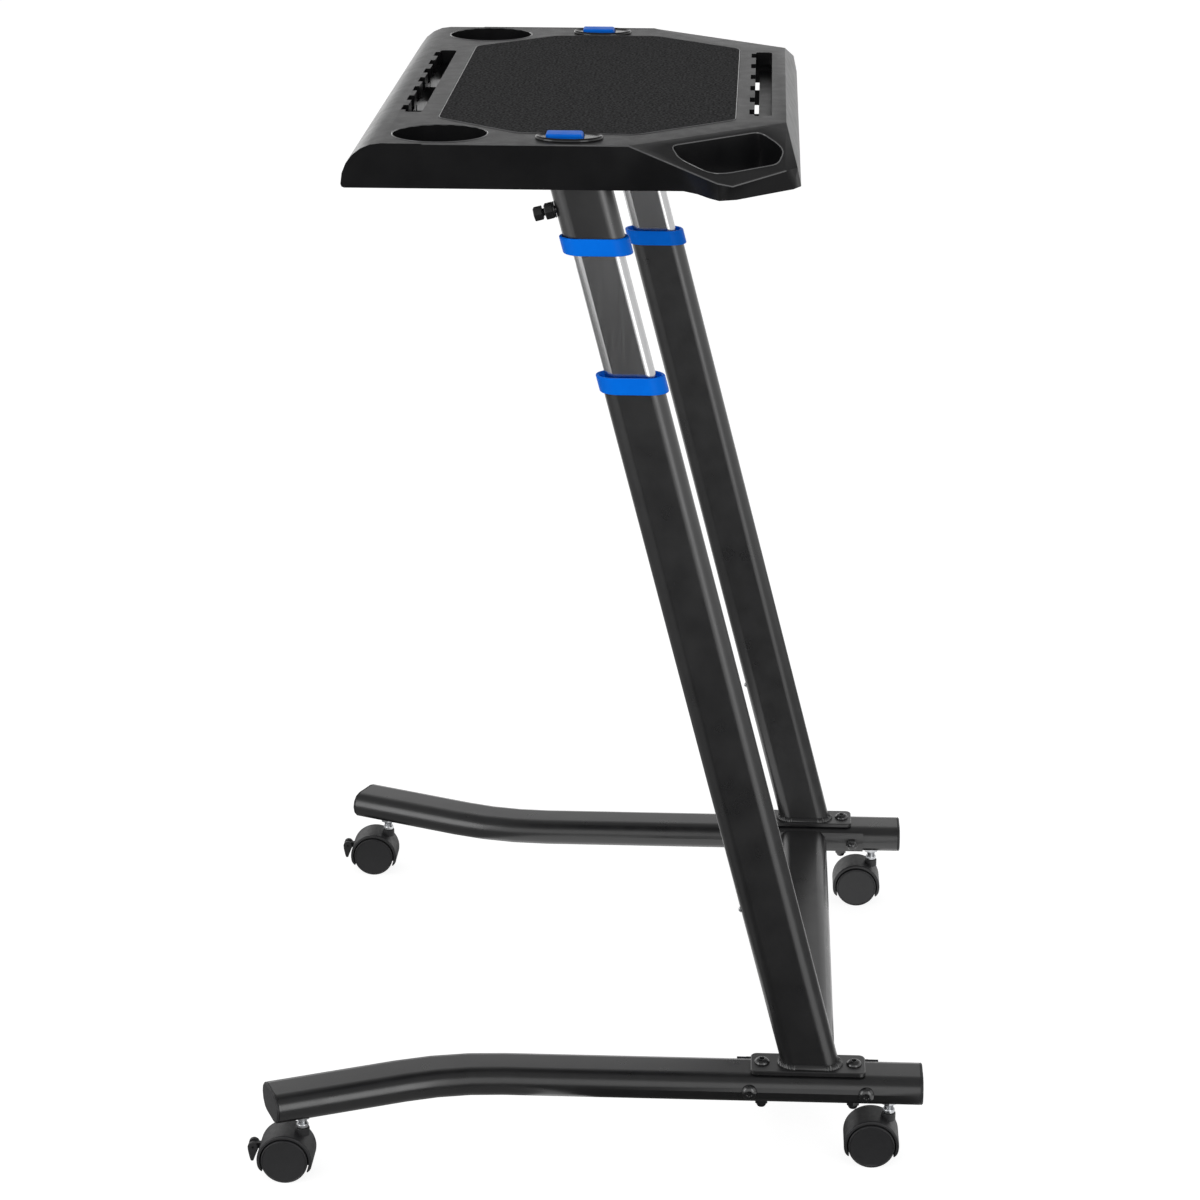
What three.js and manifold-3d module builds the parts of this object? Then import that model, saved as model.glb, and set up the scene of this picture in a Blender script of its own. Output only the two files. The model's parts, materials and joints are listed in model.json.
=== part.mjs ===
// A rolling desk for riding on an indoor bike trainer: a moulded top on two raked telescopic posts.
// Millimetres, +Z up, the rider sits on the -Y side, and the frame is mirrored about X = 0.
import * as THREE from "three";
import { mergeVertices } from "three/addons/utils/BufferGeometryUtils.js";
import Module from "manifold-3d";

const wasm = await Module();
wasm.setup();

// Fits that every piece shares
const seat = 0.3;
const overrun = 6;
const sink = 0.5;

// Facet counts: a quarter of a tube's round side, a quarter of a small corner, and full turns
const tubeQuarter = 3;
const cornerQuarter = 2;
const bullnoseQuarter = 6;
const easeSteps = 2;
const wheelFacets = 16;
const boltFacets = 8;
const cupFacets = 20;
const bezelFacets = 16;
const hoodFacets = 10;
const saddleFacets = 4;
const springStepsPerTurn = 8;
const springWireFacets = 4;
const legBendStations = 3;

// Casters: a twin wheel under a hood that swivels on a zinc stem
const wheelRadius = 25;
const wheelWidth = 18;
const wheelChamfer = 2;
const wheelDish = 1.5;
const wheelBoreDepth = 13;
const axleRadius = 3;
const webWidth = 7;
const casterTrail = 18;
const hoodClearance = 1.4;
const hoodWall = 3.2;
const hoodTipDegrees = 26;
const socketRadius = 7.5;
const socketTop = 57;
const socketFloor = 47.2;
const stemBoreFloor = 48.2;
const stemPinRadius = 4;
const stemFlangeRadius = 6.5;
const stemFlangeHeight = 4;
const stemNutAcross = 16;
const stemNutHeight = 7;
const stemThreadRadius = 5;
const stemThreadLength = 16;

// Brake lever on each front caster
const leverPivotOut = 35;
const leverPivotUp = 9;
const leverBarrelRadius = 5.6;
const leverWidth = 14;
const leverTailLength = 16;
const leverTailThickness = 5;
const leverWaistHalf = 3.9;
const leverWaistDrop = 11.2;
const leverHeelDrop = 9.6;
const leverNotchDrop = 5;
const leverLugWidth = 5;
const leverLugRadius = 3.6;
const leverPinRadius = 1.4;

// Legs: flat oval tube, straight at the back and splayed outwards in front of a bend
const legTrack = 688;
const legUnderside = 75;
const legWidth = 60;
const legHeight = 32;
const legWall = 2;
const legSplayDegrees = 23.3;
const legCornerY = -140;
const legBendRadius = 280;
const frontStemFromCorner = 166.2;
const rearStemY = 330;
const legEndBeyondStem = 32;
const capThickness = 2.6;
const capBulge = 0.8;
const capPlugDepth = 12;
const capPlugWall = 2.4;

// Flange joint that carries each post, and the bolts through the leg
const flangeY = 242.5;
const flangeLength = 122;
const flangeWidth = 44;
const flangeThickness = 5;
const flangeCorner = 7;
const flangeBoltSpan = 98;
const saddleBoltSpan = 124;
const boltRadius = 4;
const boltHole = 4.5;
const boltHeadRadius = 7;
const boltCrownRadius = 3.5;
const boltHeadHeight = 4.4;
const washerRadius = 8;
const washerThickness = 1.6;
const nutAcross = 13;
const nutHeight = 6.5;
const nutDomeRadius = 5;
const nutTipRadius = 2.5;
const nutDomeHeight = 4.5;

// Crossbar between the legs, with a saddle plate welded to each end
const crossbarDepth = 60;
const crossbarHeight = 30;
const crossbarWall = 2;
const saddleLength = 152;
const saddleThickness = 4;
const saddleHalfDegrees = 37;

// Raked posts, from the flange up
const postOffCentre = 1;
const rakeDegrees = 14.5;
const postFootY = 245;
const postDepth = 60;
const postWidth = 30;
const postWall = 2;
const postBelowDesk = 242;
const weldLeg = 4;
const stopScrewHeight = 289;
const stopScrewRadius = 2;
const stopScrewReach = 7;
const stopHeadRadius = 3.6;
const stopCrownRadius = 1.8;
const stopHeadHeight = 2;
const stopGap = 2;

// Blue collars: a rim round the black tube, and a bush inside it
const collarWall = 3.4;
const collarHeight = 17;
const collarLap = 9;
const collarFloor = 3.5;
const collarRecess = 1.5;
const bushLength = 30;

// Bright inner tube, fixed in the upper sleeve and sliding in the post
const tubeDepth = 50;
const tubeWidth = 20;
const tubeWall = 1.5;
const tubeTopBelowFlange = 6;
const tubeExposed = 123;
const travelDown = 125;
const plugHeight = 42;
const plugSpigot = 24;
const tubeTopPlug = 8;
const dimpleBelowCollar = 10;
const dimpleRadius = 3;
const dimpleDepth = 1;

// Upper sleeve, its screwed flange and its clamp bolt
const sleeveFlangeLength = 94;
const sleeveFlangeWidth = 40;
const sleeveFlangeThickness = 4;
const sleeveFlangeCorner = 8;
const sleeveScrewSpan = 78;
const sleeveScrewRadius = 2.2;
const sleeveScrewHeadRadius = 4.4;
const sleeveScrewHeadHeight = 3;
const sleeveScrewReach = 9;
const clampBelowDesk = 68;
const clampNutAcross = 15;
const clampNutHeight = 8.6;
const clampThreadGap = 2.4;
const clampHeadAcross = 13;
const clampHeadHeight = 9;
const clampWasherRadius = 8.2;

// Height lock: the button pushes a rod whose cam plate draws a brake shoe off the post wall
const rodShift = -4;
const camShift = -5;
const rodRadius = 2.5;
const rodGap = 0.5;
const rodSocketDepth = 5;
const buttonTravel = 6;
const shoePerButton = 0.5;
const camThickness = 3;
const camDepth = 14;
const camHeight = 26;
const camPinRadius = 1.8;
const shoeWidth = 16;
const shoeHeight = 16;
const shoePadDepth = 7;
const shoeArmWidth = 4;
const shoeArmHeight = 8;
const shoeArmLength = 16;
const shoeMidAbovePlugFoot = 20;
const springWire = 0.6;
const springRadius = 5;
const springTurns = 3;

// Moulded desktop
const deskTop = 1102;
const deskDepth = 44;
const deskOverPost = 24;
const deskFrontY = -233;
const bullnoseRadius = 40;
const frontFootRadius = 3.5;
const footEaseShare = 0.3;
const deskWall = 3;
const deskSkin = 4;
const earReach = 44;
const earStartY = 48;
const earSpanY = 168;
const facetSlopeDegrees = 16.8;
const rearTopInset = 133;
const rearTopY = 201;
const ribThickness = 3;
const ribDepth = 33;
const crossRibPitch = 145;
const crossRibCount = 4;
const longRibY = 80;
const bossRadius = 6.5;
const bossHeight = 12;
const bossBoreRadius = 2.6;

// The ear's foot and rim outlines, and the handle opening, as shares of the ear and of its facet
const earFootShares = [
  [0, 0],
  [-0.02, 0.32],
  [0.3, 0.405],
  [0.75, 0.476],
  [1, 0.53],
  [0.86, 0.625],
  [-0.386, 0.958],
  [-0.705, 1],
];
const earRimShares = [
  [0, 0],
  [0.5, 0.259],
  [0.68, 0.352],
  [0.86, 0.446],
  [1, 0.518],
  [1, 0.601],
  [-0.386, 0.906],
  [-0.705, 0.976],
];
const facetFrontPoints = 6;
const facetDepth = 90;
const handleShares = [
  [0.215, 0.12],
  [0.165, 0.4],
  [0.215, 0.78],
  [0.3, 0.835],
  [0.635, 0.81],
  [0.755, 0.59],
  [0.79, 0.42],
  [0.785, 0.11],
];
const handleCorner = 9;
const handleWall = 3;

// Cup holders
const cupFromSide = 55;
const cupY = -140.5;
const cupRadius = 47;
const cupWall = 3;

// Tablet slots with their rows of teeth
const slotWidth = 18;
const slotFrontInset = 172;
const slotFrontY = -179;
const slotRearInset = 167;
const slotRearY = 177.5;
const slotCorner = 4;
const slotLip = 10;
const slotLipWall = 2.5;
const slotToothDepth = 5;
const slotToothWidth = 27;
const slotFrontTeeth = 7;
const slotRearTeeth = 6;
const slotFrontRibY = -190;
const slotLedgeDrop = 21;
const slotLedgeThickness = 2.5;
const slotFrontLedge = 10.5;
const slotRearLedge = 13.5;

// Thin mat let into the top
const matFrontInset = 140;
const matFrontY = -151;
const matSideFrontInset = 61;
const matSideFrontY = -65;
const matSideRearInset = 57;
const matSideRearY = 54;
const matRearInset = 144;
const matRearY = 151;
const matCorner = 7;
const matThickness = 2;
const matGroove = 1.4;
const matRecess = 2;

// Release buttons and their bezels
const buttonInboard = 12;
const buttonY = -15;
const buttonLength = 36;
const buttonWidth = 25;
const buttonCorner = 3;
const buttonProud = 6;
const buttonDepth = 8;
const buttonBevel = 1.6;
const bezelY = -11.5;
const bezelLength = 67;
const bezelWidth = 46;
const bezelRimHeight = 3;
const bezelFloor = 1.4;
const bezelRimWidth = 3;
const bezelSkirtWall = 2;
const bezelSkirtDepth = 3;
const buttonClearance = 0.6;

// Heights and places that follow from the sizes above
const rake = THREE.MathUtils.degToRad(rakeDegrees);
const splay = THREE.MathUtils.degToRad(legSplayDegrees);
const legX = legTrack / 2;
const postX = legX - postOffCentre;
const deskHalf = postX + deskOverPost;
const deskReach = deskHalf + earReach + overrun;
const cupX = deskHalf - cupFromSide;
const buttonX = postX - buttonInboard;
const slotFrontLength = 2 * (deskHalf - slotFrontInset);
const slotRearLength = 2 * (deskHalf - slotRearInset);
const legTop = legUnderside + legHeight;
const legMiddle = legUnderside + legHeight / 2;
const flangeBottom = legTop + seat;
const flangeTop = flangeBottom + flangeThickness;
const postTop = deskTop - postBelowDesk;
const clampHeight = deskTop - clampBelowDesk;
const lowerCollarBottom = postTop - collarLap;
const lowerCollarTop = lowerCollarBottom + collarHeight;
const upperCollarBottom = lowerCollarTop + tubeExposed;
const upperCollarTop = upperCollarBottom + collarHeight;
const sleeveBottom = upperCollarTop - collarLap + collarRecess;
const deskBottom = deskTop - deskDepth;
const skinBottom = deskTop - deskSkin;
const sleeveFlangeTop = skinBottom - bossHeight - seat;
const sleeveFlangeBottom = sleeveFlangeTop - sleeveFlangeThickness;
const tubeTop = sleeveFlangeTop - tubeTopBelowFlange;
const plugBottom = stopScrewHeight + stopScrewRadius + stopGap + travelDown * Math.cos(rake);
const tubeBottom = plugBottom + plugHeight;
const shoeMiddle = plugBottom + shoeMidAbovePlugFoot;
const boreDepth = postDepth - 2 * postWall;
const boreWidth = postWidth - 2 * postWall;
const buttonTop = deskTop + buttonProud;
const buttonBottom = skinBottom - buttonDepth + buttonTravel / 2;
const wheelMiddleX = webWidth / 2 + seat + wheelWidth / 2;
const hoodInner = wheelRadius + hoodClearance;
const hoodOuter = hoodInner + hoodWall;
const hoodHalfWidth = webWidth / 2 + seat + wheelWidth - wheelDish;

// A closed geometry as a solid, with its faces turned outwards.
function solidOf(geometry) {
  const loose = geometry.index ? geometry.toNonIndexed() : geometry;
  const bare = new THREE.BufferGeometry().setAttribute("position", loose.getAttribute("position"));
  const merged = mergeVertices(bare);
  const corners = merged.index.array;
  const kept = [];
  for (let i = 0; i < corners.length; i += 3) {
    const [a, b, c] = corners.slice(i, i + 3);
    if (a !== b && b !== c && c !== a) kept.push(a, b, c);
  }
  const vertProperties = merged.attributes.position.array;
  const build = (list) => {
    const mesh = new wasm.Mesh({ numProp: 3, vertProperties, triVerts: new Uint32Array(list) });
    return new wasm.Manifold(mesh);
  };
  const made = build(kept);
  return made.volume() < 0 ? build(kept.reverse()) : made;
}

function geometryOf(made) {
  const mesh = made.getMesh();
  return new THREE.BufferGeometry()
    .setAttribute("position", new THREE.BufferAttribute(mesh.vertProperties, 3))
    .setIndex(new THREE.BufferAttribute(mesh.triVerts, 1));
}

function join(...pieces) {
  return geometryOf(pieces.map(solidOf).reduce((sum, piece) => sum.add(piece)));
}

function cut(body, ...tools) {
  return geometryOf(tools.map(solidOf).reduce((rest, tool) => rest.subtract(tool), solidOf(body)));
}

function common(body, tool) {
  return geometryOf(solidOf(body).intersect(solidOf(tool)));
}

function mirrored(geometry) {
  const copy = geometry.clone().scale(-1, 1, 1);
  return copy.setIndex([...copy.index.array].reverse());
}

// Outline with rounded corners, centred; a radius of half the smaller size gives a flat oval.
function roundedOutline(sizeX, sizeY, radius) {
  const overX = sizeX / 2 - radius;
  const overY = sizeY / 2 - radius;
  const shape = new THREE.Shape();
  shape.absarc(overX, overY, radius, 0, Math.PI / 2);
  shape.absarc(-overX, overY, radius, Math.PI / 2, Math.PI);
  shape.absarc(-overX, -overY, radius, Math.PI, Math.PI * 1.5);
  shape.absarc(overX, -overY, radius, Math.PI * 1.5, Math.PI * 2);
  return shape;
}

function flatOval(sizeX, sizeY) {
  return roundedOutline(sizeX, sizeY, Math.min(sizeX, sizeY) / 2);
}

// Outline through corner points, with each corner eased by a curve that starts at most a radius away.
function easedOutline(points, radius) {
  const shape = new THREE.Shape();
  points.forEach((corner, i) => {
    const back = points.at(i - 1);
    const next = points[(i + 1) % points.length];
    const ease = (to) => corner.clone().lerp(to, Math.min(radius / corner.distanceTo(to), 0.5));
    const from = ease(back);
    const to = ease(next);
    if (i === 0) shape.moveTo(from.x, from.y);
    else shape.lineTo(from.x, from.y);
    shape.quadraticCurveTo(corner.x, corner.y, to.x, to.y);
  });
  return shape;
}

// An upright prism; each arc of its outline gets as many facets as stated.
function prism(outline, low, high, arcFacets = tubeQuarter) {
  const options = { depth: high - low, bevelEnabled: false, curveSegments: arcFacets / 2 };
  return new THREE.ExtrudeGeometry(outline, options).translate(0, 0, low);
}

// A prism of an outline drawn in (Y, Z), running along X.
const alongX = new THREE.Matrix4().makeBasis(
  new THREE.Vector3(0, 1, 0),
  new THREE.Vector3(0, 0, 1),
  new THREE.Vector3(1, 0, 0),
);

function slab(outline, low, high, arcFacets = tubeQuarter) {
  return prism(outline, low, high, arcFacets).applyMatrix4(alongX);
}

function block(x, y, z) {
  const size = [x, y, z].map(([low, high]) => high - low);
  const middle = [x, y, z].map(([low, high]) => (low + high) / 2);
  return new THREE.BoxGeometry(...size).translate(...middle);
}

function rod(radius, low, high, facets = boltFacets) {
  const round = new THREE.CylinderGeometry(radius, radius, high - low, facets);
  return round.rotateX(Math.PI / 2).translate(0, 0, (low + high) / 2);
}

// A bore whose flats clear a turning pin of the stated radius.
function bore(radius, low, high) {
  return rod((radius + seat) / Math.cos(Math.PI / boltFacets), low, high);
}

function hexagon(across, low, high) {
  return rod(across / 2 / Math.cos(Math.PI / 6), low, high, 6);
}

// A profile of [radius, height] pairs turned about Z.
function revolve(profile, facets) {
  const points = profile.map(([radius, height]) => new THREE.Vector2(radius, height));
  return new THREE.LatheGeometry(points, facets).rotateX(Math.PI / 2);
}

// A body through rings of as many points, each ring anticlockwise from above, the lowest first.
function loft(rings) {
  const count = rings[0].length;
  const index = [];
  rings.slice(1).forEach((ring, r) => {
    ring.forEach((point, i) => {
      const a = r * count + i;
      const b = r * count + ((i + 1) % count);
      index.push(a, b, b + count, a, b + count, a + count);
    });
  });
  const plan = (ring) => THREE.ShapeUtils.triangulateShape(ring.map((p) => new THREE.Vector2(p.x, p.y)), []);
  const last = (rings.length - 1) * count;
  plan(rings[0]).forEach(([a, b, c]) => index.push(c, b, a));
  plan(rings.at(-1)).forEach(([a, b, c]) => index.push(last + a, last + b, last + c));
  return new THREE.BufferGeometry().setFromPoints(rings.flat()).setIndex(index);
}

// A ring moved inwards in plan by a wall. Points that share a place stay together.
function inset(ring, wall) {
  const apart = (a, b) => Math.hypot(a.x - b.x, a.y - b.y) > Number.EPSILON;
  const distinct = (i, step) => {
    let at = i;
    do at = (at + step + ring.length) % ring.length;
    while (!apart(ring[at], ring[i]));
    return ring[at];
  };
  const inward = (from, to) => new THREE.Vector2(from.y - to.y, to.x - from.x).normalize();
  return ring.map((point, i) => {
    const before = inward(distinct(i, -1), point);
    const after = inward(point, distinct(i, 1));
    const mitre = before.clone().add(after).normalize();
    const move = wall / mitre.dot(before);
    const moved = point.clone();
    moved.x += mitre.x * move;
    moved.y += mitre.y * move;
    return moved;
  });
}

// Right half of a ring completed by its mirror image.
function bothSides(right) {
  const left = right.map((point) => point.clone().setX(-point.x)).reverse();
  return [...right, ...left];
}

// Pieces on a post's axis are drawn upright, with Y across the tube, and leaned by the rake.
const axisY = (height) => postFootY - (height - flangeTop) * Math.tan(rake);
const lean = new THREE.Matrix4().set(
  1, 0, 0, postX,
  0, 1 / Math.cos(rake), -Math.tan(rake), axisY(0),
  0, 0, 1, 0,
  0, 0, 0, 1,
);

function leaned(geometry) {
  return geometry.applyMatrix4(lean);
}

// A fastener drawn along +Z from the tube's axis is turned to leave its front face at a height.
function outOfFront(geometry, height, faceDepth = postDepth / 2) {
  const atAxis = height + faceDepth * Math.sin(rake);
  return geometry.rotateX(Math.PI / 2 + rake).translate(postX, axisY(atAxis), atAxis);
}

// The axis of the right leg in plan: from the rear end, round the bend, to the splayed front end.
class LegPath extends THREE.Curve {
  constructor(stations) {
    super();
    this.stations = stations;
  }
  station(share) {
    return this.stations[Math.round(share * (this.stations.length - 1))];
  }
  getPointAt(share) {
    return this.station(share).place.clone();
  }
  getTangentAt(share) {
    return this.station(share).heading.clone();
  }
}

function legAxis(distance) {
  const place = new THREE.Vector3(legX, legCornerY, legMiddle);
  return place.add(new THREE.Vector3(Math.sin(splay), -Math.cos(splay), 0).multiplyScalar(distance));
}

const frontStem = legAxis(frontStemFromCorner);
const rearStem = new THREE.Vector3(legX, rearStemY, legMiddle);
const frontEnd = legAxis(frontStemFromCorner + legEndBeyondStem);
const rearEnd = new THREE.Vector3(legX, rearStemY + legEndBeyondStem, legMiddle);

function legStations() {
  const heading = (turn) => new THREE.Vector3(Math.sin(turn), -Math.cos(turn), 0);
  const tangent = legBendRadius * Math.tan(splay / 2);
  const centre = new THREE.Vector3(legX + legBendRadius, legCornerY + tangent, legMiddle);
  const stations = [{ place: rearEnd, heading: heading(0) }];
  for (let i = 0; i <= legBendStations; i++) {
    const turn = (splay * i) / legBendStations;
    const arm = new THREE.Vector3(-Math.cos(turn), -Math.sin(turn), 0);
    stations.push({ place: centre.clone().addScaledVector(arm, legBendRadius), heading: heading(turn) });
  }
  stations.push({ place: frontEnd, heading: heading(splay) });
  return stations;
}

function alongLeg(outline) {
  const stations = legStations();
  const extrudePath = new LegPath(stations);
  const options = { steps: stations.length - 1, extrudePath, curveSegments: tubeQuarter / 2 };
  return new THREE.ExtrudeGeometry(outline, options);
}

const flangeBoltY = [flangeY - flangeBoltSpan / 2, flangeY + flangeBoltSpan / 2];
const saddleBoltY = [flangeY - saddleBoltSpan / 2, flangeY + saddleBoltSpan / 2];

function makeLeg() {
  const section = flatOval(legHeight, legWidth);
  section.holes.push(flatOval(legHeight - 2 * legWall, legWidth - 2 * legWall));
  const upright = rod(boltHole, legUnderside - overrun, legTop + overrun);
  const level = rod(boltHole, legX - legWidth, legX + legWidth).applyMatrix4(alongX);
  level.translate(0, 0, legMiddle);
  const stemHole = rod(stemThreadRadius + seat, legUnderside - overrun, legMiddle);
  const holes = [
    ...flangeBoltY.map((y) => upright.clone().translate(legX, y, 0)),
    ...saddleBoltY.map((y) => level.clone().translate(0, y, 0)),
    stemHole.clone().translate(frontStem.x, frontStem.y, 0),
    stemHole.clone().translate(rearStem.x, rearStem.y, 0),
  ];
  return cut(alongLeg(section), ...holes);
}

// End cap drawn with its face towards +Z and its plug below, then turned to face out of a tube's end.
function makeCap(end, outwards) {
  const face = prism(flatOval(legWidth, legHeight), seat, seat + capThickness - capBulge);
  const bulge = prism(
    flatOval(legWidth - 2 * capBulge, legHeight - 2 * capBulge),
    capThickness - capBulge,
    seat + capThickness,
  );
  const fit = 2 * (legWall + seat);
  const plug = prism(flatOval(legWidth - fit, legHeight - fit), -capPlugDepth, seat + sink);
  const hollowSize = [legWidth - fit - 2 * capPlugWall, legHeight - fit - 2 * capPlugWall];
  const hollow = prism(flatOval(...hollowSize), -capPlugDepth - overrun, -sink, cornerQuarter);
  const up = new THREE.Vector3(0, 0, 1);
  const facing = new THREE.Matrix4().makeBasis(up.clone().cross(outwards), up, outwards);
  const cap = cut(join(face, bulge, plug), hollow);
  return cap.applyMatrix4(facing).translate(end.x, end.y, end.z);
}

// A through bolt along +Z: domed head at the top, acorn nut on a washer below.
function makeBolt(gripLow, gripHigh) {
  const headLow = gripHigh + seat;
  const headHigh = headLow + boltHeadHeight;
  const nutHigh = gripLow - seat - washerThickness;
  const nutLow = nutHigh - nutHeight;
  const turned = revolve(
    [
      [0, headHigh],
      [boltCrownRadius, headHigh],
      [boltHeadRadius, headLow],
      [boltRadius, headLow],
      [boltRadius, gripLow - seat],
      [washerRadius, gripLow - seat],
      [washerRadius, nutHigh],
      [nutDomeRadius, nutHigh],
      [nutDomeRadius, nutLow],
      [nutTipRadius, nutLow - nutDomeHeight],
      [0, nutLow - nutDomeHeight],
    ].reverse(),
    boltFacets,
  );
  return join(turned, hexagon(nutAcross, nutLow, nutHigh + sink));
}

function makeCrossbar() {
  const roundX = legX - legWidth / 2 + legHeight / 2;
  const inner = legHeight / 2 + seat;
  const outer = inner + saddleThickness;
  const half = THREE.MathUtils.degToRad(saddleHalfDegrees);
  const saddle = new THREE.Shape();
  saddle.absarc(roundX, legMiddle, outer, Math.PI - half, Math.PI + half);
  saddle.absarc(roundX, legMiddle, inner, Math.PI + half, Math.PI - half, true);
  const intoY = new THREE.Matrix4().makeBasis(
    new THREE.Vector3(1, 0, 0),
    new THREE.Vector3(0, 0, 1),
    new THREE.Vector3(0, -1, 0),
  );
  const low = -flangeY - saddleLength / 2;
  const plate = prism(saddle, low, low + saddleLength, saddleFacets).applyMatrix4(intoY);
  const level = rod(boltHole, roundX - legWidth, roundX).applyMatrix4(alongX).translate(0, 0, legMiddle);
  const saddleRight = cut(plate, ...saddleBoltY.map((y) => level.clone().translate(0, y, 0)));
  const reach = roundX - outer * Math.cos(half);
  const section = flatOval(crossbarDepth, crossbarHeight);
  const hollow = flatOval(crossbarDepth - 2 * crossbarWall, crossbarHeight - 2 * crossbarWall);
  const place = (outline, end) => slab(outline, -end, end).translate(0, flangeY, legMiddle);
  const cope = rod(outer - sink, flangeY - crossbarDepth, flangeY + crossbarDepth, wheelFacets);
  const copeRight = cope.rotateX(Math.PI / 2).translate(roundX, 2 * flangeY, legMiddle);
  const bar = cut(place(section, reach), place(hollow, reach + overrun), copeRight, mirrored(copeRight));
  return join(bar, saddleRight, mirrored(saddleRight));
}

const ovalRing = (sizeX, sizeY, height) =>
  flatOval(sizeX, sizeY)
    .getPoints(tubeQuarter / 2)
    .slice(0, -1)
    .map((p) => new THREE.Vector3(p.x, p.y, height));

function makePost() {
  const tube = flatOval(postWidth, postDepth);
  tube.holes.push(flatOval(boreWidth, boreDepth));
  const bead = loft([
    ovalRing(postWidth + 2 * weldLeg, postDepth + 2 * weldLeg, flangeTop - sink),
    ovalRing(postWidth + weldLeg, postDepth + weldLeg, flangeTop + weldLeg / 2),
    ovalRing(postWidth, postDepth, flangeTop + weldLeg),
  ]);
  const beadBore = prism(flatOval(boreWidth, boreDepth), flangeTop, flangeTop + weldLeg + overrun);
  const upright = leaned(join(prism(tube, flangeTop - sink, postTop), cut(bead, beadBore)));
  const plate = prism(roundedOutline(flangeWidth, flangeLength, flangeCorner), flangeBottom, flangeTop);
  plate.translate(legX, flangeY, 0);
  const hole = rod(boltHole, flangeBottom - overrun, flangeTop + overrun);
  const holes = flangeBoltY.map((y) => hole.clone().translate(legX, y, 0));
  const screwHole = outOfFront(rod(stopScrewRadius + seat, 0, postDepth), stopScrewHeight);
  return cut(join(upright, plate), ...holes, screwHole);
}

function makeStopScrew() {
  const front = postDepth / 2;
  const shank = rod(stopScrewRadius, front - stopScrewReach, front + seat + sink);
  const head = revolve(
    [
      [0, front + seat],
      [stopHeadRadius, front + seat],
      [stopCrownRadius, front + seat + stopHeadHeight],
      [0, front + seat + stopHeadHeight],
    ],
    boltFacets,
  );
  return outOfFront(join(shank, head), stopScrewHeight);
}

// Collar in four tiers. The end that laps the black tube is up on the sleeve and down on the post.
function makeCollar(bottom, lapsUp) {
  const grow = (sizes, by) => sizes.map((size) => size + 2 * by);
  const rim = grow([postWidth, postDepth], seat + collarWall);
  const lap = grow([postWidth, postDepth], seat);
  const bush = grow([boreWidth, boreDepth], -seat);
  const bore = grow([tubeWidth, tubeDepth], seat);
  const top = bottom + collarHeight;
  const oval = (sizes, low, high) => prism(flatOval(...sizes), low, high);
  if (lapsUp) {
    const shell = join(oval(rim, bottom, top), oval(bush, top - sink, top + bushLength - collarLap));
    const gap = cut(oval(lap, sleeveBottom - seat, top + overrun), oval(bush, bottom, top + bushLength));
    return leaned(cut(shell, gap, oval(bore, bottom - overrun, top + bushLength)));
  }
  const shell = join(oval(rim, bottom, top), oval(bush, bottom - bushLength + collarLap, bottom + sink));
  const gap = cut(oval(lap, bottom - overrun, postTop + seat), oval(bush, bottom - bushLength, top));
  const recess = oval(lap, postTop + collarFloor + seat, top + overrun);
  return leaned(cut(shell, gap, recess, oval(bore, bottom - bushLength, top + overrun)));
}

const sleeveScrewY = [-1, 1].map(
  (side) => axisY(sleeveFlangeTop) + (side * sleeveScrewSpan) / 2 / Math.cos(rake),
);

function makeSleeve() {
  const tube = prism(flatOval(postWidth, postDepth), sleeveBottom, sleeveFlangeBottom + sink);
  const plate = prism(
    roundedOutline(sleeveFlangeWidth, sleeveFlangeLength, sleeveFlangeCorner),
    sleeveFlangeBottom,
    sleeveFlangeTop,
  );
  const bore = prism(flatOval(boreWidth, boreDepth), sleeveBottom - overrun, sleeveFlangeTop + overrun);
  const headLow = sleeveFlangeBottom - sleeveScrewHeadHeight;
  const head = rod(sleeveScrewHeadRadius, headLow, sleeveFlangeBottom + sink);
  const shank = rod(sleeveScrewRadius, sleeveFlangeTop - sink, sleeveFlangeTop + sleeveScrewReach);
  const screwAt = (y) => [head, shank].map((piece) => piece.clone().translate(postX, y, 0));
  const screws = sleeveScrewY.flatMap(screwAt);
  const body = join(leaned(cut(join(tube, plate), bore)), ...screws);
  const clampHole = outOfFront(rod(boltRadius + seat, 0, postDepth), clampHeight);
  return cut(body, clampHole);
}

function makeClampBolt() {
  const front = postDepth / 2 + seat;
  const washerHigh = front + washerThickness;
  const nutHigh = washerHigh + clampNutHeight;
  const headLow = nutHigh + clampThreadGap;
  const shank = rod(boltRadius, tubeDepth / 2 + seat, headLow + sink);
  const washer = rod(clampWasherRadius, front, washerHigh);
  const nut = hexagon(clampNutAcross, washerHigh - sink, nutHigh);
  const head = hexagon(clampHeadAcross, headLow, headLow + clampHeadHeight);
  return outOfFront(join(shank, washer, nut, head), clampHeight);
}

// Window for the shoe, channel for the cam plate and bore for the rod, drawn upright in the plug.
const camX = [camShift - camThickness / 2, camShift + camThickness / 2];
const shoeFront = -boreDepth / 2 + seat;
const pinRestY = shoeFront + shoePadDepth + shoeArmLength - camPinRadius * 2;
const camDrop = buttonTravel * Math.cos(rake);
const shoeDraw = camDrop * shoePerButton;

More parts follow.
